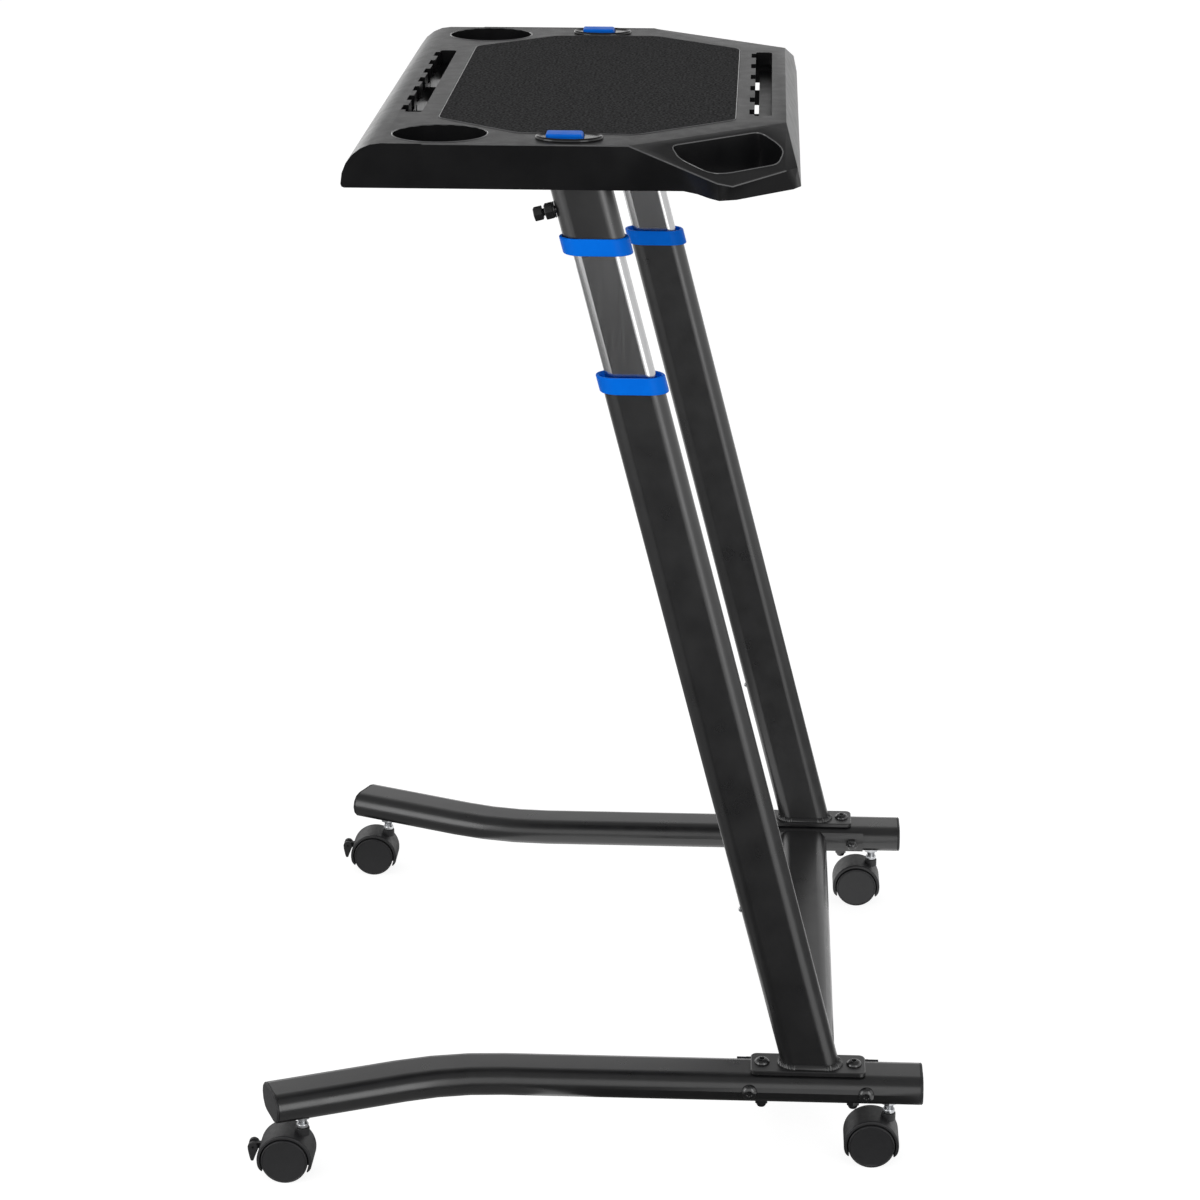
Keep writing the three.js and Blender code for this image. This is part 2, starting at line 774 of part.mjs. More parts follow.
function makeInnerTube() {
  const tube = flatOval(tubeWidth, tubeDepth);
  tube.holes.push(flatOval(tubeWidth - 2 * tubeWall, tubeDepth - 2 * tubeWall));
  const wall = prism(tube, tubeBottom, tubeTop);
  const spigotSize = [tubeWidth - tubeWall, tubeDepth - tubeWall];
  const topPlug = prism(flatOval(...spigotSize), tubeTop - tubeTopPlug, tubeTop - sink);
  const foot = prism(flatOval(boreWidth - 2 * seat, boreDepth - 2 * seat), plugBottom, tubeBottom + sink);
  const spigot = prism(flatOval(...spigotSize), tubeBottom, tubeBottom + plugSpigot);
  const halfShoe = shoeHeight / 2 + seat;
  const window = block(
    [-shoeWidth / 2 - seat, shoeWidth / 2 + seat],
    [-postDepth, shoeFront + shoePadDepth + shoeDraw + rodGap],
    [shoeMiddle - halfShoe, shoeMiddle + halfShoe],
  );
  const armEnd = shoeFront + shoePadDepth + shoeArmLength + shoeDraw + rodGap;
  const halfArm = shoeArmHeight / 2 + seat;
  const armSlot = block(
    [camX[1], camX[1] + seat + shoeArmWidth + rodGap],
    [shoeFront, armEnd],
    [shoeMiddle - halfArm, shoeMiddle + halfArm],
  );
  const channel = block(
    [camX[0] - rodGap, camX[1] + rodGap],
    [pinRestY - camDepth / 2 - rodGap, pinRestY + camDepth / 2 + rodGap],
    [shoeMiddle - camHeight / 2 - camDrop - rodGap, shoeMiddle + camHeight / 2 + rodGap],
  );
  const rodBore = rod(rodRadius + rodGap, shoeMiddle, tubeTop + overrun).translate(rodShift, pinRestY, 0);
  const body = leaned(cut(join(wall, topPlug, foot, spigot), window, armSlot, channel, rodBore));
  const dimple = rod(dimpleRadius, tubeDepth / 2 - dimpleDepth, postDepth, boltFacets);
  return cut(body, outOfFront(dimple, upperCollarBottom - dimpleBelowCollar, tubeDepth / 2));
}

// Cam plate with a slanted slot, on the foot of the rod.
function makeReleaseRod() {
  const rodTop = buttonBottom + rodSocketDepth;
  const stick = rod(rodRadius, shoeMiddle + camHeight / 2 - sink, rodTop).translate(rodShift, 0, 0);
  const plate = block(camX, [-camDepth / 2, camDepth / 2], [-camHeight / 2, camHeight / 2]);
  plate.translate(0, 0, shoeMiddle);
  const path = [new THREE.Vector2(0, 0), new THREE.Vector2(shoeDraw, camDrop)];
  const angle = path[1].angle();
  const radius = camPinRadius + seat;
  const slot = new THREE.Shape();
  slot.absarc(path[1].x, path[1].y, radius, angle - Math.PI / 2, angle + Math.PI / 2);
  slot.absarc(0, 0, radius, angle + Math.PI / 2, angle + Math.PI * 1.5);
  const slotCut = slab(slot, camX[0] - overrun, camX[1] + overrun).translate(0, 0, shoeMiddle);
  return leaned(cut(join(stick, plate), slotCut).translate(0, pinRestY, 0));
}

function makeShoe() {
  const lining = flatOval(boreWidth - 2 * seat, boreDepth - 2 * seat);
  const face = prism(lining, shoeMiddle - shoeHeight / 2, shoeMiddle + shoeHeight / 2);
  const padBox = block(
    [-shoeWidth / 2, shoeWidth / 2],
    [shoeFront - overrun, shoeFront + shoePadDepth],
    [shoeMiddle - shoeHeight, shoeMiddle + shoeHeight],
  );
  const armX = [camX[1] + seat, camX[1] + seat + shoeArmWidth];
  const arm = block(
    armX,
    [shoeFront + shoePadDepth / 2, shoeFront + shoePadDepth + shoeArmLength],
    [shoeMiddle - shoeArmHeight / 2, shoeMiddle + shoeArmHeight / 2],
  );
  const pin = rod(camPinRadius, camX[0], armX[0] + sink).applyMatrix4(alongX);
  pin.translate(0, pinRestY, shoeMiddle);
  return leaned(join(common(face, padBox), arm, pin));
}

class SpringPath extends THREE.Curve {
  getPoint(share, target = new THREE.Vector3()) {
    const low = tubeTop + seat + springWire;
    const high = buttonBottom - seat - springWire;
    const turn = share * springTurns * Math.PI * 2;
    const around = [Math.cos(turn) * springRadius, Math.sin(turn) * springRadius];
    return target.set(rodShift + around[0], pinRestY + around[1], low + (high - low) * share);
  }
}

function makeSpring() {
  const steps = springTurns * springStepsPerTurn;
  const wire = new THREE.Shape();
  wire.absarc(0, 0, springWire, 0, Math.PI * 2);
  const points = wire.getSpacedPoints(springWireFacets).slice(0, -1);
  const options = { steps, extrudePath: new SpringPath() };
  return leaned(geometryOf(solidOf(new THREE.ExtrudeGeometry(new THREE.Shape(points), options))));
}

// Hood: a fender over both wheels, a web between them, the stem socket behind and the axle through it.
function makeHood(stem, braked) {
  const tip = THREE.MathUtils.degToRad(hoodTipDegrees);
  const fender = new THREE.Shape();
  fender.absarc(0, 0, hoodOuter, -tip, Math.PI + tip);
  fender.absarc(0, 0, hoodInner, Math.PI + tip, -tip, true);
  const roof = slab(fender, -hoodHalfWidth, hoodHalfWidth, hoodFacets);
  const webSide = new THREE.Shape();
  webSide.absarc(0, 0, hoodInner + hoodWall / 2, -tip, Math.PI + tip);
  const web = slab(webSide, -webWidth / 2, webWidth / 2, hoodFacets);
  const socket = rod(socketRadius, socketFloor - wheelRadius, socketTop - wheelRadius, boltFacets);
  socket.translate(0, casterTrail, 0);
  const room = rod(hoodInner, webWidth / 2, socketRadius + overrun, wheelFacets).applyMatrix4(alongX);
  const shell = join(roof, web, cut(socket, room, mirrored(join(room))));
  const axle = rod(axleRadius, -webWidth / 2 - wheelBoreDepth, webWidth / 2 + wheelBoreDepth);
  const pieces = [shell, axle.applyMatrix4(alongX)];
  if (braked) {
    const lugX = [-leverLugWidth / 2, leverLugWidth / 2];
    const lug = rod(leverLugRadius, ...lugX).applyMatrix4(alongX);
    const neck = block(lugX, [0, leverPivotOut - hoodInner], [-leverLugRadius, leverLugRadius]);
    const pin = rod(leverPinRadius, -leverWidth / 2, leverWidth / 2).applyMatrix4(alongX);
    pieces.push(...[lug, neck, pin].map((piece) => piece.translate(0, -leverPivotOut, leverPivotUp)));
  }
  const stemBore = bore(stemPinRadius, stemBoreFloor - wheelRadius, hoodOuter + overrun);
  stemBore.translate(0, casterTrail, 0);
  return cut(join(...pieces), stemBore).translate(stem.x, stem.y - casterTrail, wheelRadius);
}

function makeWheel(stem, side) {
  const half = wheelWidth / 2;
  const profile = [
    [0, half - wheelDish],
    [wheelRadius - wheelChamfer, half],
    [wheelRadius, half - wheelChamfer],
    [wheelRadius, -half],
    [axleRadius + seat, -half],
    [axleRadius + seat, -half + wheelBoreDepth + seat],
    [0, -half + wheelBoreDepth + seat],
  ];
  const disc = geometryOf(solidOf(revolve(profile.reverse(), wheelFacets).applyMatrix4(alongX)));
  const turned = side > 0 ? disc : mirrored(disc);
  return turned.translate(stem.x + side * wheelMiddleX, stem.y - casterTrail, wheelRadius);
}

function makeStem(stem) {
  const flangeLow = socketTop + seat;
  const nutHigh = legUnderside - seat;
  const nutLow = nutHigh - stemNutHeight;
  const turned = revolve(
    [
      [0, stemBoreFloor + seat],
      [stemPinRadius, stemBoreFloor + seat],
      [stemPinRadius, flangeLow],
      [stemFlangeRadius, flangeLow],
      [stemFlangeRadius, flangeLow + stemFlangeHeight],
      [stemThreadRadius, flangeLow + stemFlangeHeight],
      [stemThreadRadius, nutHigh + stemThreadLength],
      [0, nutHigh + stemThreadLength],
    ],
    boltFacets,
  );
  return join(turned, hexagon(stemNutAcross, nutLow, nutHigh)).translate(stem.x, stem.y, 0);
}

function makeLever(stem) {
  const half = leverWidth / 2;
  const profile = new THREE.Shape();
  profile.absarc(0, 0, leverBarrelRadius, 0, Math.PI);
  profile.lineTo(-leverWaistHalf, -leverWaistDrop);
  profile.lineTo(-leverTailThickness / 2, -leverTailLength);
  profile.lineTo(0, -leverTailLength);
  profile.lineTo(leverTailThickness / 2, -leverHeelDrop);
  const body = slab(profile, -half, half);
  const room = leverLugWidth / 2 + seat;
  const notch = block([-room, room], [-leverPivotOut, leverPivotOut], [-leverNotchDrop, leverPivotOut]);
  const pinBore = bore(leverPinRadius, -half - overrun, half + overrun).applyMatrix4(alongX);
  const lever = cut(body, notch, pinBore);
  return lever.translate(stem.x, stem.y - casterTrail - leverPivotOut, wheelRadius + leverPivotUp);
}

const facetSlope = Math.tan(THREE.MathUtils.degToRad(facetSlopeDegrees));
const facetStart = new THREE.Vector2(deskHalf, earStartY);
const facetEnd = new THREE.Vector2(deskHalf - rearTopInset, rearTopY);
const facetAlong = facetEnd.clone().sub(facetStart).normalize();
const facetOut = new THREE.Vector2(facetAlong.y, -facetAlong.x);

function facetDrop(x, y) {
  const out = new THREE.Vector2(x, y).sub(facetStart).dot(facetOut);
  return Math.max(out, 0) * facetSlope;
}

// Rings of the desktop's outside: skirt foot, rim of the ears, and top face. Round the ear the rim's
// first points rise to the front end of the sloping facet, and the others to its rear end.
function deskRings(skin) {
  const corner = (shares) => [deskHalf + shares[0] * earReach, earStartY + shares[1] * earSpanY];
  const front = [deskHalf, deskFrontY];
  const foot = [front, ...earFootShares.map(corner)].map(([x, y]) => new THREE.Vector3(x, y, deskBottom));
  const rim = [front, ...earRimShares.map(corner)].map(
    ([x, y]) => new THREE.Vector3(x, y, deskTop - skin - (y > earStartY ? facetDrop(x, y) : 0)),
  );
  const top = rim.map((point, i) => {
    if (i < 2) return point.clone();
    const at = i < facetFrontPoints ? facetStart : facetEnd;
    return new THREE.Vector3(at.x, at.y, deskTop - skin);
  });
  return [foot, rim, top].map(bothSides);
}

// The desktop's section across the rider's view, drawn in (Y, Z).
function deskSection(wall, skin) {
  const front = deskFrontY + wall;
  const radius = bullnoseRadius - wall;
  const middle = deskTop - bullnoseRadius;
  const foot = wall ? 0 : frontFootRadius;
  const low = deskBottom - (wall ? overrun : 0);
  const back = earStartY + earSpanY + overrun;
  const shape = new THREE.Shape();
  shape.moveTo(back, low);
  shape.lineTo(back, deskTop - skin);
  shape.lineTo(front + radius, deskTop - skin);
  shape.absarc(front + radius, middle, Math.min(radius, deskTop - skin - middle), Math.PI / 2, Math.PI);
  shape.lineTo(front, low + foot);
  shape.lineTo(front + foot * footEaseShare, low + foot * footEaseShare);
  shape.lineTo(front + foot, low);
  return shape;
}

// Slot with a row of notches in its front side. It is open below in front of the ledge.
function toothedSlot(length, middleY, teeth) {
  const low = skinBottom - slotLip;
  const outline = roundedOutline(length, slotWidth, slotCorner);
  const groove = prism(outline, deskTop - slotLedgeDrop, deskTop + overrun, cornerQuarter);
  const pitch = (length - slotToothWidth) / (teeth - 1) - slotCorner;
  const cuts = [];
  for (let i = 0; i < teeth; i++) {
    const x = (i - (teeth - 1) / 2) * pitch;
    const spread = [x - slotToothWidth / 2, x + slotToothWidth / 2];
    cuts.push(block(spread, [-slotWidth / 2 - slotToothDepth, 0], [low, deskTop + overrun]));
  }
  return join(groove, ...cuts).translate(0, middleY, 0);
}

function slotLips(length, middleY) {
  const deep = slotWidth + 2 * slotLipWall + slotToothDepth;
  const frame = roundedOutline(length + 2 * slotLipWall, deep, slotCorner);
  const lip = prism(frame, skinBottom - slotLip, skinBottom + sink, cornerQuarter);
  return lip.translate(0, middleY - slotToothDepth / 2, 0);
}

// Ledge under a slot that carries the lower edge of what stands in it, hung from the slot's rear wall.
function slotLedge(length, middleY, width) {
  const wall = middleY + slotWidth / 2;
  const floor = deskTop - slotLedgeDrop;
  const section = new THREE.Shape();
  section.moveTo(wall - width, floor - slotLedgeThickness);
  section.lineTo(wall + slotLipWall, floor - slotLedgeThickness);
  section.lineTo(wall + slotLipWall, skinBottom + sink);
  section.lineTo(wall, skinBottom + sink);
  section.lineTo(wall, floor);
  section.lineTo(wall - width, floor);
  return slab(section, -length / 2, length / 2);
}

function handlePoints() {
  const length = facetStart.distanceTo(facetEnd);
  return handleShares.map(([along, out]) =>
    facetStart
      .clone()
      .addScaledVector(facetAlong, along * length)
      .addScaledVector(facetOut, out * facetDepth),
  );
}

const cornerPair = (inset, y) => new THREE.Vector2(deskHalf - inset, y);
const matCorners = bothSides([
  cornerPair(matFrontInset, matFrontY),
  cornerPair(matSideFrontInset, matSideFrontY),
  cornerPair(matSideRearInset, matSideRearY),
  cornerPair(matRearInset, matRearY),
]);

function makeDesktop() {
  const across = (section) => slab(section, -deskReach, deskReach, bullnoseQuarter);
  const outside = common(loft(deskRings(0)), across(deskSection(0, 0)));
  const [foot, rim, top] = deskRings(deskSkin).map((ring) => inset(ring, deskWall));
  const below = foot.map((point) => point.clone().setZ(deskBottom - overrun));
  const inner = common(loft([below, foot, rim, top]), across(deskSection(deskWall, deskSkin)));
  const shell = cut(outside, inner);

  const ribHeights = [skinBottom - ribDepth, skinBottom + sink];
  const ribHalf = ribThickness / 2;
  const depthSpan = [deskFrontY, earStartY + earSpanY];
  const crossRibs = Array.from({ length: crossRibCount }, (_, i) => {
    const x = (i - (crossRibCount - 1) / 2) * crossRibPitch;
    return block([x - ribHalf, x + ribHalf], depthSpan, ribHeights);
  });
  const longRibs = [slotFrontRibY, -longRibY, longRibY].map((y) =>
    block([-deskHalf, deskHalf], [y - ribHalf, y + ribHalf], ribHeights),
  );
  const onBothSides = (geometry) => [geometry, mirrored(join(geometry))];
  const handle = handlePoints();
  const duct = prism(easedOutline(inset(handle, -handleWall), handleCorner), deskBottom, deskTop, easeSteps);
  const cupBody = rod(cupRadius + cupWall, deskBottom, skinBottom + sink, wheelFacets);
  cupBody.translate(cupX, cupY, 0);
  const bossOf = (...sizes) => sleeveScrewY.map((y) => rod(...sizes).translate(postX, y, 0));
  const bosses = bossOf(bossRadius, sleeveFlangeTop + seat, skinBottom + sink);
  const inside = join(
    ...crossRibs,
    ...longRibs,
    slotLips(slotFrontLength, slotFrontY),
    slotLips(slotRearLength, slotRearY),
    slotLedge(slotFrontLength, slotFrontY, slotFrontLedge),
    slotLedge(slotRearLength, slotRearY, slotRearLedge),
    ...[duct, cupBody, ...bosses].flatMap(onBothSides),
  );
  const solid = join(shell, common(inside, outside));

  const cup = rod(cupRadius, deskBottom + cupWall, deskTop + overrun, cupFacets).translate(cupX, cupY, 0);
  const throughDesk = [deskBottom - overrun, deskTop + overrun];
  const handleHole = prism(easedOutline(handle, handleCorner), ...throughDesk, 2 * easeSteps);
  const hole = roundedOutline(
    buttonWidth + 2 * (buttonClearance + bezelSkirtWall + seat),
    buttonLength + 2 * (buttonClearance + bezelSkirtWall + seat),
    buttonCorner,
  );
  const bezelHole = leanedAtButton(prism(hole, skinBottom - overrun, deskTop + overrun, cornerQuarter));
  const screwBores = bossOf(bossBoreRadius, sleeveFlangeTop - overrun, skinBottom - bossBoreRadius);
  const matOutline = easedOutline(matCorners, matCorner);
  const matRoom = prism(matOutline, deskTop - matRecess, deskTop + overrun, 2 * easeSteps);
  return cut(
    solid,
    ...[cup, handleHole, bezelHole, ...screwBores].flatMap(onBothSides),
    toothedSlot(slotFrontLength, slotFrontY, slotFrontTeeth),
    toothedSlot(slotRearLength, slotRearY, slotRearTeeth),
    matRoom,
  );
}

function makeMat() {
  const low = deskTop - matRecess + seat;
  const outline = easedOutline(inset(matCorners, matGroove), matCorner);
  return geometryOf(solidOf(prism(outline, low, low + matThickness, 2 * easeSteps)));
}

// Pieces round the button are drawn about its middle at the desk's top, and follow the rake below it.
function leanedAtButton(geometry) {
  const shift = new THREE.Matrix4().set(
    1, 0, 0, buttonX,
    0, 1, -Math.tan(rake), buttonY + deskTop * Math.tan(rake),
    0, 0, 1, 0,
    0, 0, 0, 1,
  );
  return geometry.applyMatrix4(shift);
}

function makeBezel() {
  const low = deskTop + seat;
  const half = bezelWidth / 2;
  const dish = revolve(
    [
      [0, low],
      [half, low],
      [half, low + bezelFloor],
      [half - bezelRimWidth / 2, low + bezelRimHeight],
      [half - 2 * bezelRimWidth, low + bezelFloor],
      [0, low + bezelFloor],
    ],
    bezelFacets,
  );
  dish.scale(1, bezelLength / bezelWidth, 1).translate(buttonX, bezelY, 0);
  const around = (by) => roundedOutline(buttonWidth + 2 * by, buttonLength + 2 * by, buttonCorner);
  const skirtLow = deskTop - bezelSkirtDepth;
  const skirt = prism(around(buttonClearance + bezelSkirtWall), skirtLow, low + sink, cornerQuarter);
  const room = prism(around(buttonClearance), skirtLow - overrun, deskTop + overrun, cornerQuarter);
  return cut(join(dish, leanedAtButton(skirt)), leanedAtButton(room));
}

function makeButton() {
  const options = {
    depth: buttonTop - buttonBottom - 2 * buttonBevel,
    bevelSize: buttonBevel,
    bevelThickness: buttonBevel,
    bevelOffset: -buttonBevel,
    bevelSegments: 2,
    curveSegments: cornerQuarter / 2,
  };
  const cap = new THREE.ExtrudeGeometry(roundedOutline(buttonWidth, buttonLength, buttonCorner), options);
  cap.translate(0, 0, buttonBottom + buttonBevel);
  const socketDeep = rodSocketDepth + seat;
  const socket = rod(rodRadius + seat, buttonBottom - overrun, buttonBottom + socketDeep);
  return cut(leanedAtButton(cap), leaned(socket.translate(rodShift, pinRestY, 0)));
}

// Finishes
const finish = (color, roughness, metalness) =>
  new THREE.MeshStandardMaterial({ color, roughness, metalness });
const blackPaint = finish(0x1b1b1d, 0.42, 0.3);
const blackMoulding = finish(0x29292c, 0.55, 0);
const matFoam = finish(0x1d1d1e, 0.95, 0);
const bluePlastic = finish(0x0068e6, 0.38, 0);
const glossBlack = finish(0x0c0c0d, 0.15, 0);
const brightTube = finish(0xa9abae, 0.28, 0.9);
const zincSteel = finish(0xc4c8ca, 0.35, 0.9);
const blackSteel = finish(0x151516, 0.3, 0.6);

const desk = new THREE.Group();
desk.name = "bike_trainer_desk";

function place(name, geometry, material) {
  const mesh = new THREE.Mesh(geometry, material);
  mesh.name = name;
  geometry.computeVertexNormals();
  desk.add(mesh);
}

function placePair(name, geometry, material) {
  place(name + "_R", geometry, material);
  place(name + "_L", mirrored(geometry), material);
}

placePair("leg", makeLeg(), blackPaint);
const splayed = new THREE.Vector3(Math.sin(splay), -Math.cos(splay), 0);
placePair("leg_cap_front", makeCap(frontEnd, splayed), blackMoulding);
placePair("leg_cap_rear", makeCap(rearEnd, new THREE.Vector3(0, 1, 0)), blackMoulding);
place("crossbar", makeCrossbar(), blackPaint);
placePair("lower_post", makePost(), blackPaint);
placePair("lower_collar", makeCollar(lowerCollarBottom, false), bluePlastic);
placePair("stop_screw", makeStopScrew(), zincSteel);

const uprightBolt = makeBolt(legUnderside, flangeTop);
const levelBolt = makeBolt(legX - legWidth / 2 - seat - saddleThickness, legX + legWidth / 2);
levelBolt.applyMatrix4(alongX);
["front", "rear"].forEach((end, i) => {
  placePair("flange_bolt_" + end, uprightBolt.clone().translate(legX, flangeBoltY[i], 0), blackSteel);
  placePair("crossbar_bolt_" + end, levelBolt.clone().translate(0, saddleBoltY[i], legMiddle), blackSteel);
});

[
  ["front", frontStem],
  ["rear", rearStem],
].forEach(([end, stem]) => {
  placePair("caster_stem_" + end, makeStem(stem), zincSteel);
  placePair("caster_hood_" + end, makeHood(stem, end === "front"), blackMoulding);
  placePair("wheel_" + end + "_outer", makeWheel(stem, 1), blackMoulding);
  placePair("wheel_" + end + "_inner", makeWheel(stem, -1), blackMoulding);
});
placePair("brake_lever", makeLever(frontStem), blackMoulding);

placePair("inner_tube", makeInnerTube(), brightTube);
placePair("upper_collar", makeCollar(upperCollarBottom, true), bluePlastic);
placePair("upper_sleeve", makeSleeve(), blackPaint);
placePair("clamp_bolt", makeClampBolt(), blackSteel);
placePair("release_rod", makeReleaseRod(), zincSteel);
placePair("lock_shoe", makeShoe(), zincSteel);
placePair("button_spring", makeSpring(), zincSteel);
place("desktop", makeDesktop(), blackMoulding);
place("mat", makeMat(), matFoam);
placePair("button_bezel", makeBezel(), glossBlack);
placePair("release_button", makeButton(), bluePlastic);

// The frame's origin is on the floor, under the middle of the whole outline.
const extent = new THREE.Box3().setFromObject(desk);
desk.position.y = -(extent.min.y + extent.max.y) / 2;

export default desk;
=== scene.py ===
# A rolling desk for an indoor bike trainer: camera, studio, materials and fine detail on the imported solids.
import json
import math

import bmesh
import bpy
from mathutils import Matrix, Vector


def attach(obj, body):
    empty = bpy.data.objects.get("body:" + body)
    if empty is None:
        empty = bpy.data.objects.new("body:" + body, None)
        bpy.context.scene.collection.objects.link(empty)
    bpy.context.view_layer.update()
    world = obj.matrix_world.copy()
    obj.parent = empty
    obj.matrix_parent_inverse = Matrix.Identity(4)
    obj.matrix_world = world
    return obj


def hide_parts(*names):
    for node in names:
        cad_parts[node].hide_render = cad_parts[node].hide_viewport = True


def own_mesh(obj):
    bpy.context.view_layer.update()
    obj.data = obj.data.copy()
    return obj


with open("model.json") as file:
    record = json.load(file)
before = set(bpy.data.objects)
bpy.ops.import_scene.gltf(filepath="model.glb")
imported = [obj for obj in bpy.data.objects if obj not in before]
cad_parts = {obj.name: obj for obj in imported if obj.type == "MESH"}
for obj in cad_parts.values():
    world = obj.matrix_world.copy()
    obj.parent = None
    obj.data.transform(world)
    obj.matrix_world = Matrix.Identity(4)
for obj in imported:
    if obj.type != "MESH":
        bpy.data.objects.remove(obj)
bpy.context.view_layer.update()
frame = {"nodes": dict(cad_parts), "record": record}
nodes = frame["nodes"]
record = frame["record"]
slot_of = {entry["node"]: entry["material_slot"] for entry in record["subparts"]}
body_of = {node: body for body, listed in record["behaviour"]["bodies"].items() for node in listed}
MM = 0.001

# Sizes in metres that the pieces below share with the solids
RAKE = math.radians(14.5)
LEG_X = 0.344
POST_X = 0.343
POST_FOOT_Y = 0.238173
FLANGE_TOP = 0.1123
LEG_MIDDLE = 0.091
FLANGE_BOLT_Y = (0.186673, 0.284673)
SADDLE_BOLT_Y = (0.173673, 0.297673)
WHEEL_RADIUS = 0.025

# Sizes in millimetres, which the pieces are drawn in
DESK_TOP = 1102
DESK_SIDE = 367
OVAL_STRAIGHT = 15  # half the straight side of the flat-oval tubes
STEMS = {"front": (409.74, -299.5), "rear": (344.0, 323.17)}
AXLE_TRAIL = 18  # from a caster's stem forward to its axle
WHEEL_OFFSET = 12.8
HOOD_START, HOOD_SWEEP = -26, 232  # degrees round the axle
FENDER_INSIDE = 26.4
LUG_AHEAD, LUG_ABOVE = 35, 9  # the brake lever's pivot, from the axle
SADDLE_FACE = 374.3
CLAMP_HEIGHT = 1034
BUTTON_X, BUTTON_Y = 331, -21.827
SPRING_FOOT, SPRING_RISE = 1080.6, 11.5
CUP_MIDDLE = (312, -147.327)


# Camera: to the rider's right, a little above, with a long lens
CAMERA_PLACE = (3.5, 0.170673, 1.6986)
CAMERA_TURNS = (2.862, 18.681, 0.056)
CAMERA_LENS = 98.09


def place_camera():
    yaw, pitch, roll = (math.radians(angle) for angle in CAMERA_TURNS)
    forward = Vector((
        -math.cos(yaw) * math.cos(pitch),
        -math.sin(yaw) * math.cos(pitch),
        -math.sin(pitch),
    ))
    right = forward.cross(Vector((0, 0, 1))).normalized()
    up = right.cross(forward)
    turned_right = math.cos(roll) * right + math.sin(roll) * up
    turned_up = -math.sin(roll) * right + math.cos(roll) * up
    data = bpy.data.cameras.new("camera")
    data.sensor_width = 36
    data.lens = CAMERA_LENS
    camera = bpy.data.objects.new("camera", data)
    bpy.context.scene.collection.objects.link(camera)
    basis = Matrix((turned_right, turned_up, -forward)).transposed().to_4x4()
    camera.matrix_world = Matrix.Translation(CAMERA_PLACE) @ basis
    bpy.context.scene.camera = camera


# Studio: pale floor and backdrop, softboxes, and dark cards that only reflections see
def emission_for(tree, rays, seen, unseen):
    """An emission of one strength for the named kinds of ray and another for the rest."""
    path = tree.nodes.new("ShaderNodeLightPath")
    kinds = path.outputs[rays[0]]
    for ray in rays[1:]:
        either = tree.nodes.new("ShaderNodeMath")
        either.operation = "MAXIMUM"
        tree.links.new(kinds, either.inputs[0])
        tree.links.new(path.outputs[ray], either.inputs[1])
        kinds = either.outputs[0]
    strength = tree.nodes.new("ShaderNodeMapRange")
    strength.inputs["To Min"].default_value = unseen
    strength.inputs["To Max"].default_value = seen
    tree.links.new(kinds, strength.inputs["Value"])
    return strength.outputs["Result"]


SEEN_RAYS = ("Is Camera Ray", "Is Glossy Ray", "Is Transmission Ray")


def build_world():
    world = bpy.data.worlds.new("world")
    bpy.context.scene.world = world
    world.use_nodes = True
    background = world.node_tree.nodes["Background"]
    background.inputs["Color"].default_value = (1, 1, 1, 1)
    strength = emission_for(world.node_tree, SEEN_RAYS, 1.0, 0.45)
    world.node_tree.links.new(strength, background.inputs["Strength"])


def plane(name, size, place, facing, material):
    """A rectangle in the studio that faces along a direction."""
    mesh = bpy.data.meshes.new(name)
    half = (size[0] / 2, size[1] / 2)
    corners = [(x * half[0], y * half[1], 0) for x, y in ((-1, -1), (1, -1), (1, 1), (-1, 1))]
    mesh.from_pydata(corners, [], [(0, 1, 2, 3)])
    mesh.materials.append(material)
    obj = bpy.data.objects.new(name, mesh)
    bpy.context.scene.collection.objects.link(obj)
    obj.location = place
    obj.rotation_euler = Vector(facing).to_track_quat("Z", "Y").to_euler()


def build_floor():
    material = bpy.data.materials.new("floor")
    material.use_nodes = True
    tree = material.node_tree
    shader = tree.nodes["Principled BSDF"]
    shader.inputs["Roughness"].default_value = 0.9
    shader.inputs["Specular IOR Level"].default_value = 0.1
    speckle = tree.nodes.new("ShaderNodeTexNoise")
    speckle.inputs["Scale"].default_value = 3
    ramp = tree.nodes.new("ShaderNodeValToRGB")
    ramp.color_ramp.elements[0].color = (0.30, 0.30, 0.30, 1)
    ramp.color_ramp.elements[1].color = (0.32, 0.32, 0.32, 1)
    tree.links.new(speckle.outputs["Fac"], ramp.inputs["Fac"])
    tree.links.new(ramp.outputs["Color"], shader.inputs["Base Color"])
    shader.inputs["Emission Color"].default_value = (1, 1, 1, 1)
    glow = emission_for(tree, SEEN_RAYS, 0.87, 0.0)
    tree.links.new(glow, shader.inputs["Emission Strength"])
    plane("floor", (60, 60), (0, 0, 0), (0, 0, 1), material)


def glossy_card(name, corners, radiance):
    """A flat card that only reflections see."""
    material = bpy.data.materials.new(name)
    material.use_nodes = True
    shader = material.node_tree.nodes["Principled BSDF"]
    shader.inputs["Base Color"].default_value = (0, 0, 0, 1)
    shader.inputs["Specular IOR Level"].default_value = 0.0
    shader.inputs["Emission Color"].default_value = (1, 1, 1, 1)
    shader.inputs["Emission Strength"].default_value = radiance
    mesh = bpy.data.meshes.new(name)
    mesh.from_pydata(corners, [], [tuple(range(len(corners)))])
    mesh.materials.append(material)
    card = bpy.data.objects.new(name, mesh)
    bpy.context.scene.collection.objects.link(card)
    card.visible_camera = False
    card.visible_diffuse = False
    card.visible_shadow = False
    card.visible_transmission = False


